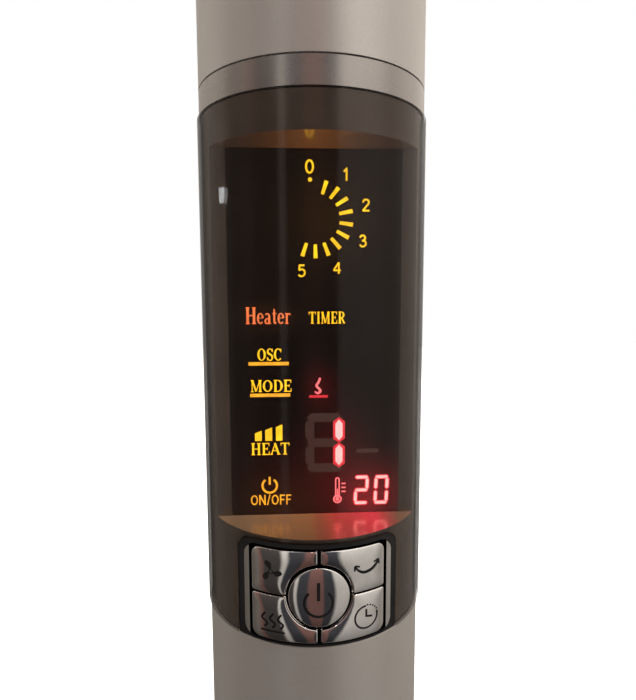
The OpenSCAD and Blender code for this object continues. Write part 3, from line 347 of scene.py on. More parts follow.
def mask_black(name):
    """The dark window in front of the figures, with painted glow standing in for the stray light
    that leaks through it.
    """
    g = Graph(name, Base_Color=(0.004, 0.0032, 0.0028), Specular_IOR_Level=0.25)
    g.set("Roughness", g.range(g.noise(50, 3), 0.3, 0.7, 0.30, 0.42))
    g.bump(g.noise(1500, 2), 0.08, 0.00004)
    total = None
    # Place and size of each soft patch of painted glow in millimetres, and its colour.
    for x, z, size_x, size_z, colour in (
        (27, 60, 17, 13, (0.20, 0.006, 0.010)),
        (24, 56, 10, 9, (0.25, 0.010, 0.016)),
        (11, 84, 12, 18, (0.060, 0.003, 0.004)),
        (6, 62, 34, 22, (0.050, 0.004, 0.004)),
        (4, 190, 24, 24, (0.014, 0.005, 0.0006)),
        (9, 192, 15, 17, (0.016, 0.007, 0.0008)),
        (-22, 146, 14, 7, (0.030, 0.010, 0.003)),
        (-21, 58, 14, 10, (0.026, 0.010, 0.002)),
        (2, 112, 7, 9, (0.075, 0.003, 0.004)),
    ):
        lit = g.tint(colour, g.blob(x * MM, COVER_Z + z * MM, size_x * MM, size_z * MM))
        total = lit if total is None else g.add(total, lit)
    g.set("Emission Color", total)
    g.set("Emission Strength", 1.0)
    return g.material


def glow(name, colour, strength, edge=0.25):
    """A lit figure: diffused light that is uneven where the lamp sits behind it."""
    g = Graph(name, Base_Color=tuple(min(1, c * 0.6 + 0.05) for c in colour), Roughness=0.5)
    uneven = g.range(g.noise(260, 2), 0.3, 0.7, 1 - edge, 1 + edge)
    g.set("Emission Color", g.tint(colour, uneven))
    g.set("Emission Strength", strength)
    return g.material


def woven(name, colour):
    """Nylon yarn: twisted filament lines along each strand."""
    g = Graph(name)
    twist = g.noise(3200, 2, 0.5, g.stretched(1, 1, 0.25))
    g.set("Base Color", g.ramp(twist, (0.3, tuple(c * 0.7 for c in colour)), (0.7, colour)))
    g.set("Roughness", g.range(twist, 0.3, 0.7, 0.55, 0.8))
    g.bump(twist, 0.4, 0.00005)
    return g.material


def glazed_ceramic(name):
    g = Graph(name)
    speckle = g.noise(700, 4, 0.7)
    g.set("Base Color", g.ramp(speckle, (0.35, (0.70, 0.66, 0.57)), (0.6, (0.84, 0.82, 0.76))))
    g.set("Roughness", g.range(speckle, 0.3, 0.7, 0.45, 0.7))
    g.bump(speckle, 0.35, 0.0001)
    return g.material


def circuit(name):
    """Solder mask over copper tracks, with tinned pads."""
    g = Graph(name, Coat_Weight=0.4, Coat_Roughness=0.2)
    brick = g.tree.nodes.new("ShaderNodeTexBrick")
    g.tree.links.new(g.place, brick.inputs["Vector"])
    brick.inputs["Scale"].default_value = 160
    brick.inputs["Mortar Size"].default_value = 0.06
    brick.inputs["Color1"].default_value = (0.010, 0.070, 0.030, 1)
    brick.inputs["Color2"].default_value = (0.014, 0.095, 0.042, 1)
    brick.inputs["Mortar"].default_value = (0.030, 0.150, 0.070, 1)
    g.set("Base Color", brick.outputs["Color"])
    g.set("Roughness", g.range(g.noise(200, 2), 0.3, 0.7, 0.35, 0.5))
    g.bump(brick.outputs["Fac"], 0.3, 0.00005)
    return g.material


SILVER = (0.345, 0.315, 0.288)
finishes = {
    "silver_paint": silver_paint("silver_paint", SILVER, 0.40),
    "base_silver": silver_paint("base_silver", SILVER, 0.42),
    "trim_silver": glossy_silver("trim_silver"),
    "smoked_clear": smoked("smoked_clear"),
    "inner_black": pocket("inner_black"),
    "display_black": mask_black("display_black"),
    "key_chrome": chrome("key_chrome"),
    "grille_black": moulded("grille_black", (0.020, 0.020, 0.021), 0.48),
    "rubber_black": moulded("rubber_black", (0.016, 0.016, 0.016), 0.78, grain=1400, depth=0.4),
    "steel_plain": metal("steel_plain", (0.56, 0.56, 0.57), 0.32, brushed=(0.1, 1, 1)),
    "steel_dark": metal("steel_dark", (0.11, 0.11, 0.115), 0.40),
    "cast_grey": moulded("cast_grey", (0.11, 0.11, 0.115), 0.66, grain=900, depth=0.8,
                         Metallic=0.6),
    "nylon_natural": moulded("nylon_natural", (0.72, 0.68, 0.58), 0.46, depth=0.12, spread=0.05),
    "ptfe_white": moulded("ptfe_white", (0.82, 0.82, 0.79), 0.38, depth=0.1, spread=0.04),
    "abs_black": moulded("abs_black", (0.018, 0.018, 0.020), 0.46),
    "abs_red": moulded("abs_red", (0.42, 0.020, 0.016), 0.30, depth=0.1, spread=0.1),
    "board_green": circuit("board_green"),
    "led_lens": glow("led_lens", (1.0, 0.62, 0.20), 1.2),
    "light_white": moulded("light_white", (0.76, 0.76, 0.73), 0.55, depth=0.15, spread=0.05),
    "ceramic_white": glazed_ceramic("ceramic_white"),
    "fin_aluminium": metal("fin_aluminium", (0.70, 0.71, 0.73), 0.30, brushed=(1, 1, 0.08)),
    "pps_ivory": moulded("pps_ivory", (0.58, 0.53, 0.42), 0.50, depth=0.2, spread=0.08),
    "bronze_bush": metal("bronze_bush", (0.62, 0.42, 0.20), 0.42),
    "filter_black": woven("filter_black", (0.035, 0.035, 0.036)),
    "wire_mixed": moulded("wire_mixed", (0.30, 0.030, 0.022), 0.50, depth=0.1, spread=0.15),
}
# The glTF material of each CAD node is named after its slot in the record.
for node in NODES.values():
    for place in node.material_slots:
        place.material = finishes[place.material.name.split(".")[0]]
surround_black = moulded("surround_black", (0.0045, 0.004, 0.004), 0.5, Specular_IOR_Level=0.12)
NODES["key_surround"].material_slots[0].material = surround_black
# Nearer the column's axis than this, the bezel is painted near-black as shade in the well behind
# the keys.
WELL_SHADE_RADIUS = 0.0495
NODES["key_bezel"].material_slots[0].material = chrome("bezel_chrome", recess=WELL_SHADE_RADIUS)

yellow = glow("glow_yellow", (1.0, 0.54, 0.004), 2.7)
amber = glow("glow_amber", (1.0, 0.42, 0.012), 2.2)
orange_red = glow("glow_orange_red", (1.0, 0.21, 0.05), 2.0)
pink = glow("glow_pink", (1.0, 0.33, 0.31), 4.0, edge=0.1)
rose = glow("glow_rose", (1.0, 0.15, 0.16), 3.0, edge=0.1)
red = glow("glow_red", (1.0, 0.025, 0.045), 1.5, edge=0.1)
# Unlit bars and the minus sign: a faint painted red glow, not a lit lamp.
unlit_glow = glow("unlit_segment_glow", (0.080, 0.022, 0.014), 0.75, edge=0.1)
key_ink = moulded("key_ink", (0.004, 0.0035, 0.0035), 0.5, depth=0.05, Specular_IOR_Level=0.08)


# ---------------------------------------------------------------- flat figures
def smooth(points, steps=6):
    """A Catmull-Rom curve through the points."""
    line = [points[0], *points, points[-1]]
    curve = []
    for i in range(1, len(line) - 2):
        p0, p1, p2, p3 = line[i - 1:i + 3]
        for k in range(steps):
            t = k / steps
            curve.append(tuple(
                0.5 * (2 * b + (c - a) * t + (2 * a - 5 * b + 4 * c - d) * t * t
                       + (3 * b - a - 3 * c + d) * t ** 3)
                for a, b, c, d in zip(p0, p1, p2, p3)))
    return curve + [points[-1]]


def arc(cx, cy, rx, ry, start, end, steps=20):
    """Points of an elliptical arc, angles in degrees anticlockwise from +x."""
    return [(cx + rx * math.cos(math.radians(a)), cy + ry * math.sin(math.radians(a)))
            for a in (start + (end - start) * i / steps for i in range(steps + 1))]


def finer(path, most=1.0):
    """The same line with points added so that no step is longer than most."""
    line = [path[0]]
    for (x0, z0), (x1, z1) in zip(path, path[1:]):
        count = max(1, math.ceil(math.hypot(x1 - x0, z1 - z0) / most))
        line += [(x0 + (x1 - x0) * i / count, z0 + (z1 - z0) * i / count)
                 for i in range(1, count + 1)]
    return line


class Figure:
    """Collects thin closed plates that lie on a surface, then makes one mesh piece of them."""

    def __init__(self, thickness=0.12):
        self.solids = []
        self.thickness = thickness

    def plate(self, outline):
        """A flat plate from a simple outline of (x, z) points, in millimetres."""
        self.solids.append(([outline], False))

    def stroke(self, path, width, closed=False):
        """A pen stroke along a path. width is one number, or one for each point."""
        if isinstance(width, (list, tuple)):
            widths = width
        else:
            path = finer(path)
            widths = [width] * len(path)
        left, right = [], []
        count = len(path)
        for i, (x, z) in enumerate(path):
            before = path[(i - 1) % count] if closed or i else path[i]
            after = path[(i + 1) % count] if closed or i < count - 1 else path[i]
            a = Vector((x - before[0], z - before[1]))
            b = Vector((after[0] - x, after[1] - z))
            a, b = ((a if a.length > 1e-9 else b).normalized(),
                    (b if b.length > 1e-9 else a).normalized())
            along = (a + b).normalized() if (a + b).length > 0.2 else b
            reach = widths[i] / 2 / max(0.55, math.sqrt((1 + a.dot(b)) / 2))
            left.append((x - along.y * reach, z + along.x * reach))
            right.append((x + along.y * reach, z - along.x * reach))
        self.solids.append(([left, right], closed))

    def ring(self, cx, cz, radius, width, start=0, end=360, steps=32):
        full = end - start >= 360
        path = arc(cx, cz, radius, radius, start, end, steps)
        self.stroke(path[:-1] if full else path, width, closed=full)

    def disc(self, cx, cz, radius, steps=20):
        self.plate(arc(cx, cz, radius, radius, 0, 360, steps)[:-1])

    def word(self, text, font, x0, x1, z0, z1, gap=0.14):
        """Letters of a stroke font, fitted to a box."""
        widths = [font[c][0] for c in text]
        scale = (x1 - x0) / (sum(widths) + gap * (len(text) - 1))
        tall = z1 - z0
        pen = x0
        for character, wide in zip(text, widths):
            for path, width, *closed in font[character][1]:
                thick = [w * (scale + tall) / 2 for w in width] \
                    if isinstance(width, (list, tuple)) else width * (scale + tall) / 2
                self.stroke([(pen + x * scale, z0 + z * tall) for x, z in path], thick,
                            bool(closed and closed[0]))
            pen += (wide + gap) * scale

    def make(self, name, material, body, surface, slot):
        """surface(x, z, height) gives the point in metres that lies height outside the surface."""
        mesh = bmesh.new()
        for sides, closed in self.solids:
            rows = []
            for height in (self.thickness, -self.thickness / 2):
                rows.append([[mesh.verts.new(surface(x, z, height)) for x, z in line]
                             for line in sides])
            front, back = rows
            if len(sides) == 1:
                mesh.faces.new(front[0])
                mesh.faces.new(back[0][::-1])
                count = len(front[0])
                for i in range(count):
                    j = (i + 1) % count
                    mesh.faces.new((front[0][i], back[0][i], back[0][j], front[0][j]))
                continue
            (front_left, front_right), (back_left, back_right) = front, back
            count = len(front_left)
            for i in range(count if closed else count - 1):
                j = (i + 1) % count
                mesh.faces.new((front_left[i], front_left[j], front_right[j], front_right[i]))
                mesh.faces.new((back_left[i], back_right[i], back_right[j], back_left[j]))
                mesh.faces.new((front_left[i], back_left[i], back_left[j], front_left[j]))
                mesh.faces.new((front_right[i], front_right[j], back_right[j], back_right[i]))
            if not closed:
                for i in (0, count - 1):
                    mesh.faces.new((front_left[i], front_right[i], back_right[i], back_left[i]))
        bmesh.ops.recalc_face_normals(mesh, faces=mesh.faces)
        return piece(name, mesh, material, body)


def piece(name, mesh, material, body, shade_smooth=False):
    """Turns a bmesh in the row frame into a piece that rides a body."""
    data = bpy.data.meshes.new(name)
    mesh.to_mesh(data)
    mesh.free()
    data.materials.append(material)
    if shade_smooth is not None:
        for polygon in data.polygons:
            polygon.use_smooth = shade_smooth
    made = bpy.data.objects.new(name, data)
    bpy.context.scene.collection.objects.link(made)
    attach(made, body)
    return made


def on_mask(x, z, height):
    return Vector((x * MM, MASK_Y - height * MM, COVER_Z + z * MM))


# Stroke fonts. Each letter has its width and its strokes, for a capital height of 1.
STEM, HAIR, FOOT = 0.17, 0.075, 0.065


def stem(x, low=0.0, feet=0.15, width=STEM):
    """An upright with serifs at both ends."""
    strokes = [([(x, low), (x, 1.0)], width)]
    if feet:
        strokes += [([(x - feet, low + FOOT / 2), (x + feet, low + FOOT / 2)], FOOT),
                    ([(x - feet, 1.0 - FOOT / 2), (x + feet, 1.0 - FOOT / 2)], FOOT)]
    return strokes


def swelling(path, cx, thick):
    """Widths for a bowl: thick at its sides, thin at its top and bottom."""
    reach = max(abs(x - cx) for x, _ in path) or 1
    return [HAIR + (thick - HAIR) * min(1, abs(x - cx) / reach) ** 2 for x, _ in path]


def bowl(cx, cy, rx, ry, start, end, thick):
    """A curved stroke that swells at its sides."""
    path = arc(cx, cy, rx, ry, start, end, 24)
    return path, swelling(path, cx, thick)


ring_o = bowl(0.43, 0.5, 0.34, 0.455, 0, 360, 0.19)
S_PATH = smooth([(0.60, 0.76), (0.48, 0.93), (0.30, 0.95), (0.14, 0.82), (0.17, 0.63), (0.36, 0.53),
                 (0.55, 0.42), (0.61, 0.22), (0.46, 0.05), (0.26, 0.05), (0.10, 0.25)], 4)
SERIF = {
    "T": (0.80, stem(0.40, feet=0, low=0.02) + [
        ([(0.0, 0.96), (0.80, 0.96)], 0.08), ([(0.03, 0.96), (0.03, 0.76)], 0.06),
        ([(0.77, 0.96), (0.77, 0.76)], 0.06), ([(0.22, FOOT / 2), (0.58, FOOT / 2)], FOOT)]),
    "I": (0.38, stem(0.19)),
    "M": (1.02, stem(0.14, width=0.08, feet=0.13) + stem(0.86, feet=0.15) + [
        ([(0.15, 0.97), (0.49, 0.06)], 0.16), ([(0.49, 0.06), (0.84, 0.97)], 0.08)]),
    "E": (0.72, stem(0.20, feet=0.16) + [
        ([(0.18, 0.965), (0.68, 0.965)], HAIR), ([(0.20, 0.51), (0.52, 0.51)], HAIR),
        ([(0.18, 0.035), (0.70, 0.035)], HAIR), ([(0.67, 1.0), (0.67, 0.74)], 0.06),
        ([(0.69, 0.0), (0.69, 0.28)], 0.06), ([(0.52, 0.39), (0.52, 0.63)], 0.05)]),
    "R": (0.84, stem(0.20, feet=0.16) + [
        ([(0.20, 0.965), (0.42, 0.965)], HAIR), ([(0.20, 0.50), (0.42, 0.50)], HAIR),
        bowl(0.42, 0.7325, 0.22, 0.2325, 90, -90, 0.17),
        ([(0.40, 0.50), (0.70, 0.05)], 0.15), ([(0.62, FOOT / 2), (0.84, FOOT / 2)], FOOT)]),
    "O": (0.86, [(ring_o[0][:-1], ring_o[1][:-1], True)]),
    "S": (0.70, [(S_PATH, [HAIR + 0.11 * math.sin(math.pi * i / (len(S_PATH) - 1)) ** 2
                           for i in range(len(S_PATH))]),
                 ([(0.62, 0.98), (0.62, 0.70)], 0.055), ([(0.08, 0.02), (0.08, 0.30)], 0.055)]),
    "C": (0.80, [bowl(0.44, 0.5, 0.35, 0.455, 42, 318, 0.19),
                 ([(0.73, 0.97), (0.73, 0.68)], 0.06)]),
    "D": (0.84, stem(0.20, feet=0.16) + [
        ([(0.20, 0.965), (0.40, 0.965)], HAIR), ([(0.20, 0.035), (0.40, 0.035)], HAIR),
        bowl(0.40, 0.5, 0.36, 0.465, 90, -90, 0.19)]),
    "H": (0.90, stem(0.19, feet=0.16) + stem(0.71, feet=0.16) + [
        ([(0.19, 0.51), (0.71, 0.51)], HAIR)]),
    "A": (0.88, [([(0.11, 0.03), (0.45, 0.97)], 0.075), ([(0.42, 0.99), (0.77, 0.03)], 0.17),
                 ([(0.24, 0.34), (0.64, 0.34)], 0.06), ([(0.0, FOOT / 2), (0.24, FOOT / 2)], FOOT),
                 ([(0.62, FOOT / 2), (0.92, FOOT / 2)], FOOT)]),
    "e": (0.54, [([(0.09, 0.36), (0.47, 0.36)], 0.055),
                 bowl(0.28, 0.33, 0.20, 0.30, 5, 318, 0.14)]),
    "a": (0.58, [([(0.42, 0.05), (0.42, 0.46)], 0.13), bowl(0.25, 0.17, 0.16, 0.15, 0, 360, 0.12),
                 bowl(0.26, 0.46, 0.16, 0.16, 150, 0, 0.11), ([(0.40, 0.03), (0.56, 0.03)], 0.06)]),
    "t": (0.42, [([(0.20, 0.90), (0.20, 0.13), (0.27, 0.05), (0.40, 0.08)],
                  [0.08, 0.14, 0.12, 0.05]),
                 ([(0.03, 0.62), (0.40, 0.62)], 0.06)]),
    "r": (0.50, [([(0.17, 0.0), (0.17, 0.64)], 0.13), ([(0.03, 0.03), (0.32, 0.03)], 0.06),
                 ([(0.03, 0.62), (0.17, 0.62)], 0.06),
                 (smooth([(0.19, 0.44), (0.27, 0.58), (0.38, 0.61), (0.46, 0.54)], 5),
                  [0.07] * 11 + [0.10] * 5)]),
}
PEN = 0.135
SANS = {
    "0": (0.62, [(arc(0.31, 0.5, 0.24, 0.43, 0, 360, 24)[:-1], PEN, True)]),
    "1": (0.40, [([(0.05, 0.70), (0.26, 0.93), (0.26, 0.0)], PEN)]),
    "2": (0.62, [(smooth([(0.08, 0.70), (0.14, 0.87), (0.31, 0.935), (0.50, 0.84), (0.50, 0.62),
                          (0.28, 0.33), (0.08, 0.07)], 4), PEN),
                 ([(0.06, 0.07), (0.58, 0.07)], PEN)]),
    "3": (0.62, [(smooth([(0.08, 0.76), (0.18, 0.91), (0.36, 0.92), (0.48, 0.76), (0.40, 0.57),
                          (0.24, 0.52)], 4), PEN),
                 (smooth([(0.24, 0.52), (0.44, 0.48), (0.54, 0.28), (0.42, 0.09), (0.20, 0.07),
                          (0.07, 0.22)], 4), PEN)]),
    "4": (0.64, [([(0.45, 0.0), (0.45, 0.90)], PEN), ([(0.45, 0.90), (0.06, 0.29)], 0.11),
                 ([(0.04, 0.27), (0.62, 0.27)], 0.12)]),
    "5": (0.62, [([(0.52, 0.93), (0.15, 0.93), (0.11, 0.53)], PEN),
                 (smooth([(0.11, 0.53), (0.30, 0.62), (0.51, 0.50), (0.53, 0.24), (0.38, 0.08),
                          (0.18, 0.08), (0.07, 0.20)], 4), PEN)]),
    "O": (0.80, [(arc(0.40, 0.5, 0.32, 0.43, 0, 360, 24)[:-1], PEN, True)]),
    "N": (0.74, [([(0.08, 0.0), (0.08, 1.0)], PEN), ([(0.66, 0.0), (0.66, 1.0)], PEN),
                 ([(0.09, 0.95), (0.65, 0.05)], PEN)]),
    "F": (0.58, [([(0.08, 0.0), (0.08, 1.0)], PEN), ([(0.08, 0.93), (0.56, 0.93)], PEN),
                 ([(0.08, 0.50), (0.50, 0.50)], PEN)]),
    "/": (0.40, [([(0.05, -0.02), (0.35, 1.02)], 0.11)]),
}


def label(name, material, draw):
    figure = Figure()
    draw(figure)
    return figure.make(name, material, "column", on_mask, "led_lens")


# ---------------------------------------------------------------- display figures
DIAL = (0.0, 190.7)
DIAL_RADIUS, TICK_LONG, TICK_WIDE = 14.8, 6.3, 1.7
TICK_FIRST, TICK_STEP, TICKS = 18.0, 20.1, 10
NUMERALS = (("0", -2.25, 214.1, 6.4), ("1", 14.4, 210.8, 5.8), ("2", 23.8, 197.0, 5.8),
            ("3", 22.5, 180.7, 5.8), ("4", 10.4, 168.5, 5.8), ("5", -6.1, 167.0, 5.8))


def dial(figure):
    for i in range(TICKS):
        turn = math.radians(TICK_FIRST + i * TICK_STEP)
        ux, uz = math.sin(turn), math.cos(turn)
        reach = [DIAL_RADIUS + TICK_LONG * s for s in (-0.5, 0.5)]
        figure.stroke([(DIAL[0] + ux * r, DIAL[1] + uz * r) for r in reach],
                      [TICK_WIDE * 0.85, TICK_WIDE * 1.1])
    figure.disc(-2.05, 208.3, 0.95)


def numerals(figure):
    for text, x, z, tall in NUMERALS:
        wide = tall * SANS[text][0] * 1.04
        figure.word(text, SANS, x - wide / 2, x + wide / 2, z - tall / 2, z + tall / 2)


def bar(figure, x0, x1, z0, z1):
    figure.plate([(x0, z0), (x1, z0), (x1, z1), (x0, z1)])


def power_sign(figure, x, z, radius, pen):
    figure.ring(x, z, radius, pen, 125, 415, 28)
    figure.stroke([(x, z + radius * 0.15), (x, z + radius * 1.25)], pen)


def segments(x0, x1, z0, z1, thick, lean=0.0):
    """Outlines of the seven bars of a figure, in the usual order a to g."""
    mid = (z0 + z1) / 2
    t = thick / 2
    cut = thick * 0.12

    def across(z, flat=0):
        a, b = x0 + cut + t, x1 - cut - t
        return [(a - t + 0.1, z), (a, z + t), (b, z + t), (b + t - 0.1, z), (b, z - t), (a, z - t)]

    def upright(x, low, high):
        a, b = low + cut + t, high - cut - t
        return [(x, a - t + 0.1), (x + t, a), (x + t, b), (x, b + t - 0.1), (x - t, b), (x - t, a)]

    shapes = [across(z1 - t), upright(x1 - t, mid, z1 - t), upright(x1 - t, z0 + t, mid),
              across(z0 + t), upright(x0 + t, z0 + t, mid), upright(x0 + t, mid, z1 - t),
              across(mid)]
    return [[(x + (z - z0) * lean, z) for x, z in shape] for shape in shapes]


def grown(outline, amount):
    """The outline moved outwards from its own centre line by amount."""
    cx = sum(x for x, _ in outline) / len(outline)
    cz = sum(z for _, z in outline) / len(outline)
    return [(x + amount * (1 if x > cx + 0.01 else -1 if x < cx - 0.01 else 0),
             z + amount * (1 if z > cz + 0.01 else -1 if z < cz - 0.01 else 0)) for x, z in outline]


LIT = {"1": "bc", "2": "abged", "0": "abcdef"}


def lit_digit(name, text, box, thick, lean=0.0):
    """A seven-bar figure: pink-white bars on a slightly wider red glow, unlit bars with a faint
    painted glow.
    """
    bars = dict(zip("abcdefg", segments(*box, thick, lean)))
    core, halo, dark = Figure(0.16), Figure(0.08), Figure(0.05)
    for key, shape in bars.items():
        if key in LIT[text]:
            core.plate(grown(shape, -0.10 * thick))
            halo.plate(grown(shape, 0.16 * thick))
        elif thick > 2:
            dark.plate(shape)
    core.make(name, pink, "column", on_mask, "led_lens")
    halo.make(name + "_halo", red, "column", on_mask, "led_lens")
    if dark.solids:
        dark.make(name + "_unlit", unlit_glow, "column", on_mask, "led_lens")


def steam(figure):
    figure.stroke(smooth([(1.0, 108.9), (2.5, 110.3), (0.6, 112.6), (1.6, 114.4), (2.3, 116.4)], 5),
                  1.05)
    figure.stroke([(-0.2, 109.9), (0.9, 108.9), (2.0, 109.3)], 0.7)


def thermometer(figure):
    figure.ring(10.6, 56.4, 1.75, 0.75, 62, 478, 24)
    for x in (9.75, 11.45):
        figure.stroke([(x, 57.9), (x, 66.2)], 0.6)
    figure.stroke(arc(10.6, 66.2, 0.85, 0.85, 0, 180, 10), 0.6)
    figure.disc(10.6, 56.4, 0.95)
    figure.stroke([(10.6, 56.6), (10.6, 61.6)], 0.5)
    for z in (60.2, 62.2, 64.2):
        figure.stroke([(12.6, z), (14.6, z)], 0.7)


def heat_bars(figure):
    for x0, x1, top in ((-29.0, -25.8, 91.2), (-24.1, -20.8, 92.7), (-19.0, -15.9, 94.1)):
        figure.plate([(x0, 86.2), (x1, 86.2), (x1, top), (x0, top - 1.3)])


label("timer_dial", yellow, dial)
label("timer_numerals", yellow, numerals)
label("label_heater", orange_red,
      lambda f: f.word("Heater", SERIF, -32.6, -11.4, 142.3, 150.1, 0.05))
label("label_timer", yellow, lambda f: f.word("TIMER", SERIF, -2.9, 14.3, 142.3, 147.9, 0.12))
label("label_osc", yellow, lambda f: f.word("OSC", SERIF, -27.2, -15.9, 124.9, 130.8, 0.10))
label("underline_osc", amber, lambda f: bar(f, -31.5, -12.5, 122.7, 124.3))
label("label_mode", yellow, lambda f: f.word("MODE", SERIF, -30.7, -11.4, 110.0, 115.7, 0.08))
label("underline_mode", amber, lambda f: bar(f, -31.0, -12.0, 107.6, 109.2))
label("heat_level_bars", yellow, heat_bars)
label("label_heat", yellow, lambda f: f.word("HEAT", SERIF, -31.0, -12.6, 79.3, 85.1, 0.06))
label("display_power_sign", amber, lambda f: power_sign(f, -22.3, 63.9, 3.5, 1.0))
label("label_on_off", amber, lambda f: f.word("ON/OFF", SANS, -31.5, -11.9, 54.3, 59.3, 0.13))
label("steam_sign", rose, steam)
label("underline_steam", red, lambda f: bar(f, -2.9, 6.0, 106.9, 108.1))
label("thermometer_sign", rose, thermometer)
label("minus_unlit", unlit_glow, lambda f: bar(f, 19.9, 30.5, 79.4, 81.4))
lit_digit("level_digit", "1", (-4.9, 13.5, 70.2, 99.3), 4.3)
lit_digit("tens_digit", "2", (18.4, 25.6, 53.4, 68.1), 1.75, 0.04)
lit_digit("ones_digit", "0", (28.2, 35.4, 53.4, 68.1), 1.75, 0.04)


# ---------------------------------------------------------------- key caps and their signs
# Each key is a thin plated cap with rolled edges and a slightly crowned face, in front of the
# CAD key's own body and stem. Sizes in millimetres: across and up from the cover's bottom edge.
KEY_MIDDLE = 23.0
KEY_SPLIT, KEY_NEAR, KEY_FAR, KEY_TOP, KEY_BOTTOM = 0.45, 0.75, 30.25, 44.3, 1.6
POWER_RADIUS, RING_CUT = 13.8, 15.3
# The cap's rolled edge as (inset, depth) steps from the back of its wall to its face.
CAP_EDGE = ((0.0, -1.2), (0.0, -0.55), (0.04, -0.34), (0.16, -0.16), (0.34, -0.04), (0.55, 0.0))
# How far the face falls at its rim, and over what distance the fall fades.
CROWN, CROWN_REACH = 0.5, 2.6
# The face's grid, the depth of the CAD body behind the cap, and the bend in degrees from which an
# edge stays sharp.
CAP_GRID = 1.5
CAP_BACK = 1.75
SHARP_BEND = 42


def rounded(corners):
    """A closed outline from (x, z, radius) corners, each rounded by its radius."""
    outline = []
    for i, (x, z, radius) in enumerate(corners):
        if not radius:
            outline.append((x, z))
            continue
        here = Vector((x, z))
        back = (Vector(corners[i - 1][:2]) - here).normalized()
        on = (Vector(corners[(i + 1) % len(corners)][:2]) - here).normalized()
        half = back.angle(on) / 2
        centre = here + (back + on).normalized() * radius / math.sin(half)
        start = here + back * radius / math.tan(half) - centre
        end = here + on * radius / math.tan(half) - centre
        steps = max(3, round(radius * 3))
        turn = start.angle_signed(end)
        for k in range(steps + 1):
            point = centre + Matrix.Rotation(-turn * k / steps, 2) @ start
            outline.append((point.x, point.y))
    return outline


def outer_outline(side, level):
    """Outline of an outer key: side -1 left or 1 right, level -1 lower or 1 upper."""
    split = KEY_MIDDLE + level * KEY_SPLIT
    far = KEY_TOP if level > 0 else KEY_BOTTOM
    low_turn = math.asin(KEY_SPLIT / RING_CUT)
    high_turn = math.acos(KEY_NEAR / RING_CUT)
    curve = [(RING_CUT * math.cos(a), KEY_MIDDLE + level * RING_CUT * math.sin(a))
             for a in (low_turn + (high_turn - low_turn) * i / 16 for i in range(17))]
    corners = [(KEY_NEAR, far, 1.0), (KEY_FAR, far, 4.0), (KEY_FAR, split, 1.0),
               (*curve[0], 1.0), *((x, z, 0) for x, z in curve[1:-1]), (*curve[-1], 1.0)]
    return [(side * x, z) for x, z in rounded(corners)]


def cap_rings(outline):
    """The cap's edge as rings of (x, depth, z), from the back of its wall to its face."""
    line = finer(outline + outline[:1], CAP_GRID)[:-1]
    twice_area = sum(a[0] * b[1] - b[0] * a[1] for a, b in zip(line, line[1:] + line[:1]))
    if twice_area < 0:
        line.reverse()
    inward = []
    for i, (x, z) in enumerate(line):
        before, after = line[i - 1], line[(i + 1) % len(line)]
        along = Vector((after[0] - before[0], after[1] - before[1])).normalized()
        inward.append((-along.y, along.x))
    return [[(x + nx * inset, depth, z + nz * inset) for (x, z), (nx, nz) in zip(line, inward)]
            for inset, depth in CAP_EDGE]


def crown_depth(x, z, rim):
    """How far the face lies under the cover's radius here, more near its rim."""
    nearest = 99.0
    for (x0, z0), (x1, z1) in zip(rim, rim[1:] + rim[:1]):
        dx, dz = x1 - x0, z1 - z0
        share = ((x - x0) * dx + (z - z0) * dz) / (dx * dx + dz * dz)
        share = max(0.0, min(1.0, share))
        nearest = min(nearest, math.hypot(x - x0 - share * dx, z - z0 - share * dz))
    return -CROWN * math.exp(-nearest / CROWN_REACH)


def on_cover(x, depth, z):
    """A point depth outside the cover's radius, in metres from millimetres."""
    radius = COVER_R / MM + depth
    return Vector((x * MM, -math.sqrt(radius ** 2 - x ** 2) * MM, COVER_Z + z * MM))


def key_cap(key, outline, draw):
    """Replaces one CAD key by its capped version and draws its sign."""
    rings = cap_rings(outline)
    rim = [(x, z) for x, _, z in rings[-1]]
    cap = bmesh.new()
    rows = [[cap.verts.new(point) for point in ring] for ring in rings]
    for low, high in zip(rows, rows[1:]):
        for i in range(len(low)):
            j = (i + 1) % len(low)
            cap.faces.new((low[i], low[j], high[j], high[i]))
    cap.faces.new(rows[-1])
    cap.faces.new(rows[0][::-1])
    for axis in (0, 2):
        values = [vert.co[axis] for vert in cap.verts]
        low, high = min(values), max(values)
        count = int((high - low) / CAP_GRID)
        normal = Vector((0, 0, 0))
        normal[axis] = 1
        for k in range(1, count):
            at = normal * (low + (high - low) * k / count)
            bmesh.ops.bisect_plane(cap, geom=[*cap.verts, *cap.edges, *cap.faces], dist=1e-4,
                                   plane_co=at, plane_no=normal)
    bmesh.ops.triangulate(cap, faces=[face for face in cap.faces if len(face.verts) > 4])
    for vert in cap.verts:
        x, depth, z = vert.co
        fall = crown_depth(x, z, rim) if depth > -1e-6 else -CROWN
        vert.co = on_cover(x, depth + fall, z)
    bmesh.ops.recalc_face_normals(cap, faces=cap.faces)
    for face in cap.faces:
        face.smooth = True
    for edge in cap.edges:
        edge.smooth = edge.calc_face_angle(0) < math.radians(SHARP_BEND)
    shell = bpy.data.meshes.new(key + "_shell")
    cap.to_mesh(shell)
    cap.free()

    body = bmesh.new()
    body.from_mesh(NODES[key].data)
    most = COVER_R - CAP_BACK * MM
    for vert in body.verts:
        radius = math.hypot(vert.co.x, vert.co.y)
        if radius > most and vert.co.y < 0:
            vert.co.x *= most / radius
            vert.co.y *= most / radius
    for face in body.faces:
        face.smooth = False
    body.from_mesh(shell)
    bpy.data.meshes.remove(shell)
    made = piece(key + "_cap", body, finishes["key_chrome"], key, None)
    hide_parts(key)

    figure = Figure(0.10)
    draw(figure)
    figure.make(key + "_sign", key_ink, key, lambda x, z, height: on_cover(
        x, crown_depth(x, z, rim) + height * 0.5 - 0.02, z), "abs_black")


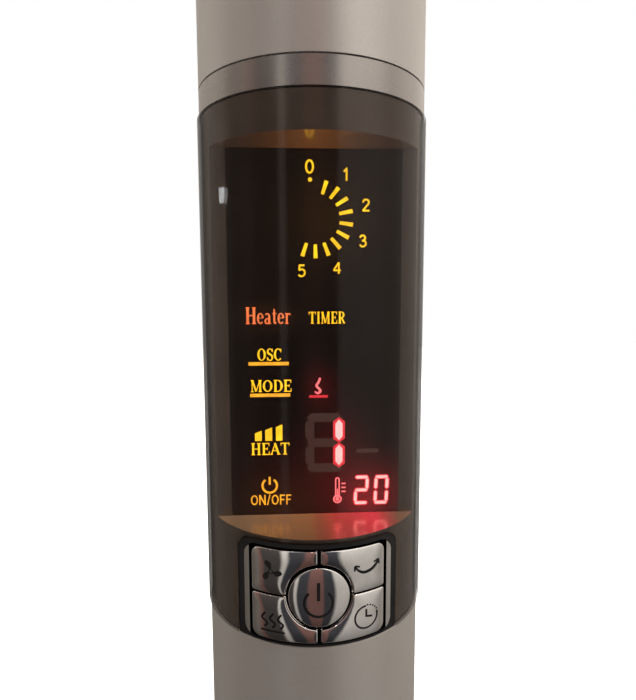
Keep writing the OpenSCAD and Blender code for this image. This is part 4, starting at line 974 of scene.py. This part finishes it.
def arrow(figure, tip, heading, long, pen):
    """An open arrowhead whose arms run back from the tip."""
    for side in (-1, 1):
        turn = math.radians(heading + 180 + side * 38)
        figure.stroke([tip, (tip[0] + long * math.cos(turn), tip[1] + long * math.sin(turn))], pen)


def key_power(figure):
    figure.ring(-0.4, 20.9, 6.3, 1.25, 133, 407, 36)
    figure.stroke([(-0.4, 22.0), (-0.4, 30.4)], 1.5)


def key_clock(figure):
    figure.ring(21.4, 11.2, 5.3, 0.85, 92, 378, 32)
    for k in range(5):
        turn = math.radians(28 + k * 14)
        figure.disc(21.4 + 5.6 * math.cos(turn), 11.2 + 5.6 * math.sin(turn), 0.42, 10)
    figure.stroke([(21.4, 14.9), (21.4, 11.6), (24.3, 10.9)], 0.95)


def key_swing(figure):
    path = smooth([(15.9, 36.3), (17.6, 34.0), (20.3, 32.7), (23.6, 33.3), (25.9, 35.0),
                   (27.2, 37.2)], 6)
    last = len(path) - 1
    figure.stroke(path, [0.75 + 0.75 * math.sin(math.pi * (i / last) ** 1.3)
                         for i in range(last + 1)])
    arrow(figure, path[0], 128, 2.4, 0.85)
    arrow(figure, path[-1], 58, 2.4, 0.85)


def key_fan(figure):
    for k in range(3):
        turn = math.radians(90 + k * 120)
        figure.stroke(
            [(-21.5 + r * math.cos(turn + r * 0.10), 34.2 + r * math.sin(turn + r * 0.10))
             for r in (0.9, 1.6, 2.2, 2.9, 3.6, 4.3, 5.0)], [0.6, 1.4, 2.0, 2.4, 2.6, 2.1, 1.1])
    figure.ring(-21.5, 34.2, 0.9, 0.5, steps=16)


def key_level(figure):
    for x in (-24.6, -21.0, -17.4):
        figure.stroke(smooth([(x, 7.6), (x + 1.3, 9.6), (x - 1.0, 11.8), (x + 0.5, 14.4)], 5), 0.95)
    figure.stroke([(-26.2, 6.0), (-15.4, 6.0)], 0.9)


key_cap("power_key", arc(0, KEY_MIDDLE, POWER_RADIUS, POWER_RADIUS, 0, 360, 60)[:-1], key_power)
key_cap("timer_key", outer_outline(1, -1), key_clock)
key_cap("oscillation_key", outer_outline(1, 1), key_swing)
key_cap("mode_key", outer_outline(-1, 1), key_fan)
key_cap("heat_key", outer_outline(-1, -1), key_level)


# ---------------------------------------------------------------- floor, light, world
FLOOR_HALF = 3.0
# The studio grows brighter with height: from and to this height, from and to this share.
STUDIO_HEIGHT = (-0.9, 0.9, 0.16, 1.95)


def make_floor():
    mesh = bmesh.new()
    corners = [mesh.verts.new((x * FLOOR_HALF, y * FLOOR_HALF, 0)) for x, y in
               ((-1, -1), (1, -1), (1, 1), (-1, 1))]
    mesh.faces.new(corners)
    data = bpy.data.meshes.new("floor")
    mesh.to_mesh(data)
    mesh.free()
    g = Graph("floor_pale", Base_Color=(0.86, 0.86, 0.86), Roughness=0.9, Specular_IOR_Level=0.0,
              Emission_Color=(1.0, 1.0, 1.0), Emission_Strength=0.45)
    data.materials.append(g.material)
    floor = bpy.data.objects.new("floor", data)
    bpy.context.scene.collection.objects.link(floor)
    floor.visible_glossy = False


def make_world():
    """White to the camera. To the object, a soft studio in upright bands round the compass."""
    world = bpy.data.worlds.new("studio")
    bpy.context.scene.world = world
    world.use_nodes = True
    tree = world.node_tree
    tree.nodes.clear()

    def node(kind):
        return tree.nodes.new(kind)

    def number(operation, a, b=0.0):
        made = node("ShaderNodeMath")
        made.operation = operation
        for index, value in enumerate((a, b)):
            if isinstance(value, bpy.types.NodeSocket):
                tree.links.new(value, made.inputs[index])
            else:
                made.inputs[index].default_value = value
        return made.outputs[0]

    split = node("ShaderNodeSeparateXYZ")
    tree.links.new(node("ShaderNodeTexCoord").outputs["Generated"], split.inputs[0])
    x, y, z = split.outputs
    # Degrees round the compass: 0 towards -Y, in front of the display, and +90 towards +X.
    bearing = number("MULTIPLY", number("ARCTAN2", x, number("MULTIPLY", y, -1.0)), 180 / math.pi)
    share = number("ADD", number("DIVIDE", bearing, 360.0), 0.5)
    ramp = node("ShaderNodeValToRGB")
    tree.links.new(share, ramp.inputs[0])
    line = ramp.color_ramp.elements
    line.remove(line[0])
    for index, (degrees, colour) in enumerate(BANDS):
        if index:
            element = line.new((degrees + 180) / 360)
        else:
            element = line[0]
            element.position = (degrees + 180) / 360
        element.color = (*colour, 1)
    height = node("ShaderNodeMapRange")
    tree.links.new(z, height.inputs[0])
    for index, value in enumerate(STUDIO_HEIGHT, 1):
        height.inputs[index].default_value = value
    scaled = node("ShaderNodeVectorMath")
    scaled.operation = "SCALE"
    tree.links.new(ramp.outputs[0], scaled.inputs[0])
    tree.links.new(height.outputs[0], scaled.inputs[3])
    studio = node("ShaderNodeBackground")
    tree.links.new(scaled.outputs[0], studio.inputs[0])
    studio.inputs[1].default_value = 1.0
    white = node("ShaderNodeBackground")
    white.inputs[0].default_value = (1, 1, 1, 1)
    path = node("ShaderNodeLightPath")
    mix = node("ShaderNodeMixShader")
    tree.links.new(path.outputs["Is Camera Ray"], mix.inputs[0])
    tree.links.new(studio.outputs[0], mix.inputs[1])
    tree.links.new(white.outputs[0], mix.inputs[2])
    output = node("ShaderNodeOutputWorld")
    tree.links.new(mix.outputs[0], output.inputs["Surface"])


# The studio's bands as (bearing in degrees, colour), blended from each to the next.
DARK = (0.10, 0.09, 0.085)
SLATE = (0.085, 0.087, 0.098)
ROSE = (0.30, 0.16, 0.14)
BRIGHT = (0.95, 0.91, 0.86)
BANDS = (
    (-180, (0.34, 0.31, 0.28)), (-140, (0.42, 0.38, 0.34)), (-112, (0.52, 0.48, 0.43)),
    (-96, (0.42, 0.38, 0.34)),
    (-84, (0.20, 0.17, 0.15)), (-70, (0.30, 0.27, 0.24)), (-61, ROSE), (-56, DARK), (-36, DARK),
    (-33, BRIGHT), (-29, BRIGHT), (-26, SLATE), (-12, SLATE), (-9, ROSE), (7, ROSE), (9, SLATE),
    (20, SLATE), (25, BRIGHT), (62, BRIGHT), (80, (0.60, 0.56, 0.52)), (100, (0.80, 0.74, 0.68)),
    (140, (0.74, 0.67, 0.60)), (180, (0.34, 0.31, 0.28)),
)


def area(name, place, size, power, colour=(1, 1, 1), target=(0, 0, 0.38), glossy=True):
    data = bpy.data.lights.new(name, "AREA")
    data.shape = "RECTANGLE"
    data.size, data.size_y = size
    data.energy = power
    data.color = colour
    light = bpy.data.objects.new(name, data)
    bpy.context.scene.collection.objects.link(light)
    light.location = place
    light.rotation_mode = "QUATERNION"
    light.rotation_quaternion = (Vector(target) - Vector(place)).to_track_quat("-Z", "Y")
    light.visible_glossy = glossy
    light.visible_camera = False


make_floor()
make_world()
area("key_light", (1.3, -1.2, 1.5), (1.2, 1.2), 26, (1.0, 0.97, 0.93), glossy=False)
area("fill_light", (-1.6, -0.8, 1.1), (1.4, 1.4), 14, (1.0, 0.98, 0.95), glossy=False)
area("back_light", (0.6, 1.6, 1.5), (1.4, 1.4), 20, glossy=False)
area("top_light", (0.0, 0.0, 2.4), (1.6, 1.6), 22, glossy=False)
# Small lamps for the sparkle on edges: bearing from the front, height in degrees, size, watts.
GLINTS = (
    (-99, 12.5, (0.20, 0.045), 0.6),
    (-62, 52, (0.03, 0.03), 0.12), (-30, 56, (0.03, 0.03), 0.12), (-4, 54, (0.03, 0.03), 0.12),
    (24, 56, (0.03, 0.03), 0.12), (55, 50, (0.03, 0.03), 0.12),
)
# Their distance from a point on the axis, and that point's height over the cover's bottom edge.
GLINT_FAR = 1.5
GLINT_CENTRE = 0.12
for index, (bearing, height, size, watts) in enumerate(GLINTS):
    turn, rise = math.radians(bearing), math.radians(height)
    centre = Vector((0, 0, COVER_Z + GLINT_CENTRE))
    place = centre + GLINT_FAR * Vector((math.sin(turn) * math.cos(rise),
                                         -math.cos(turn) * math.cos(rise), math.sin(rise)))
    area("glint_%d" % index, place, size, watts, (0.96, 0.98, 1.0), centre)
bpy.context.scene.view_settings.view_transform = "Standard"
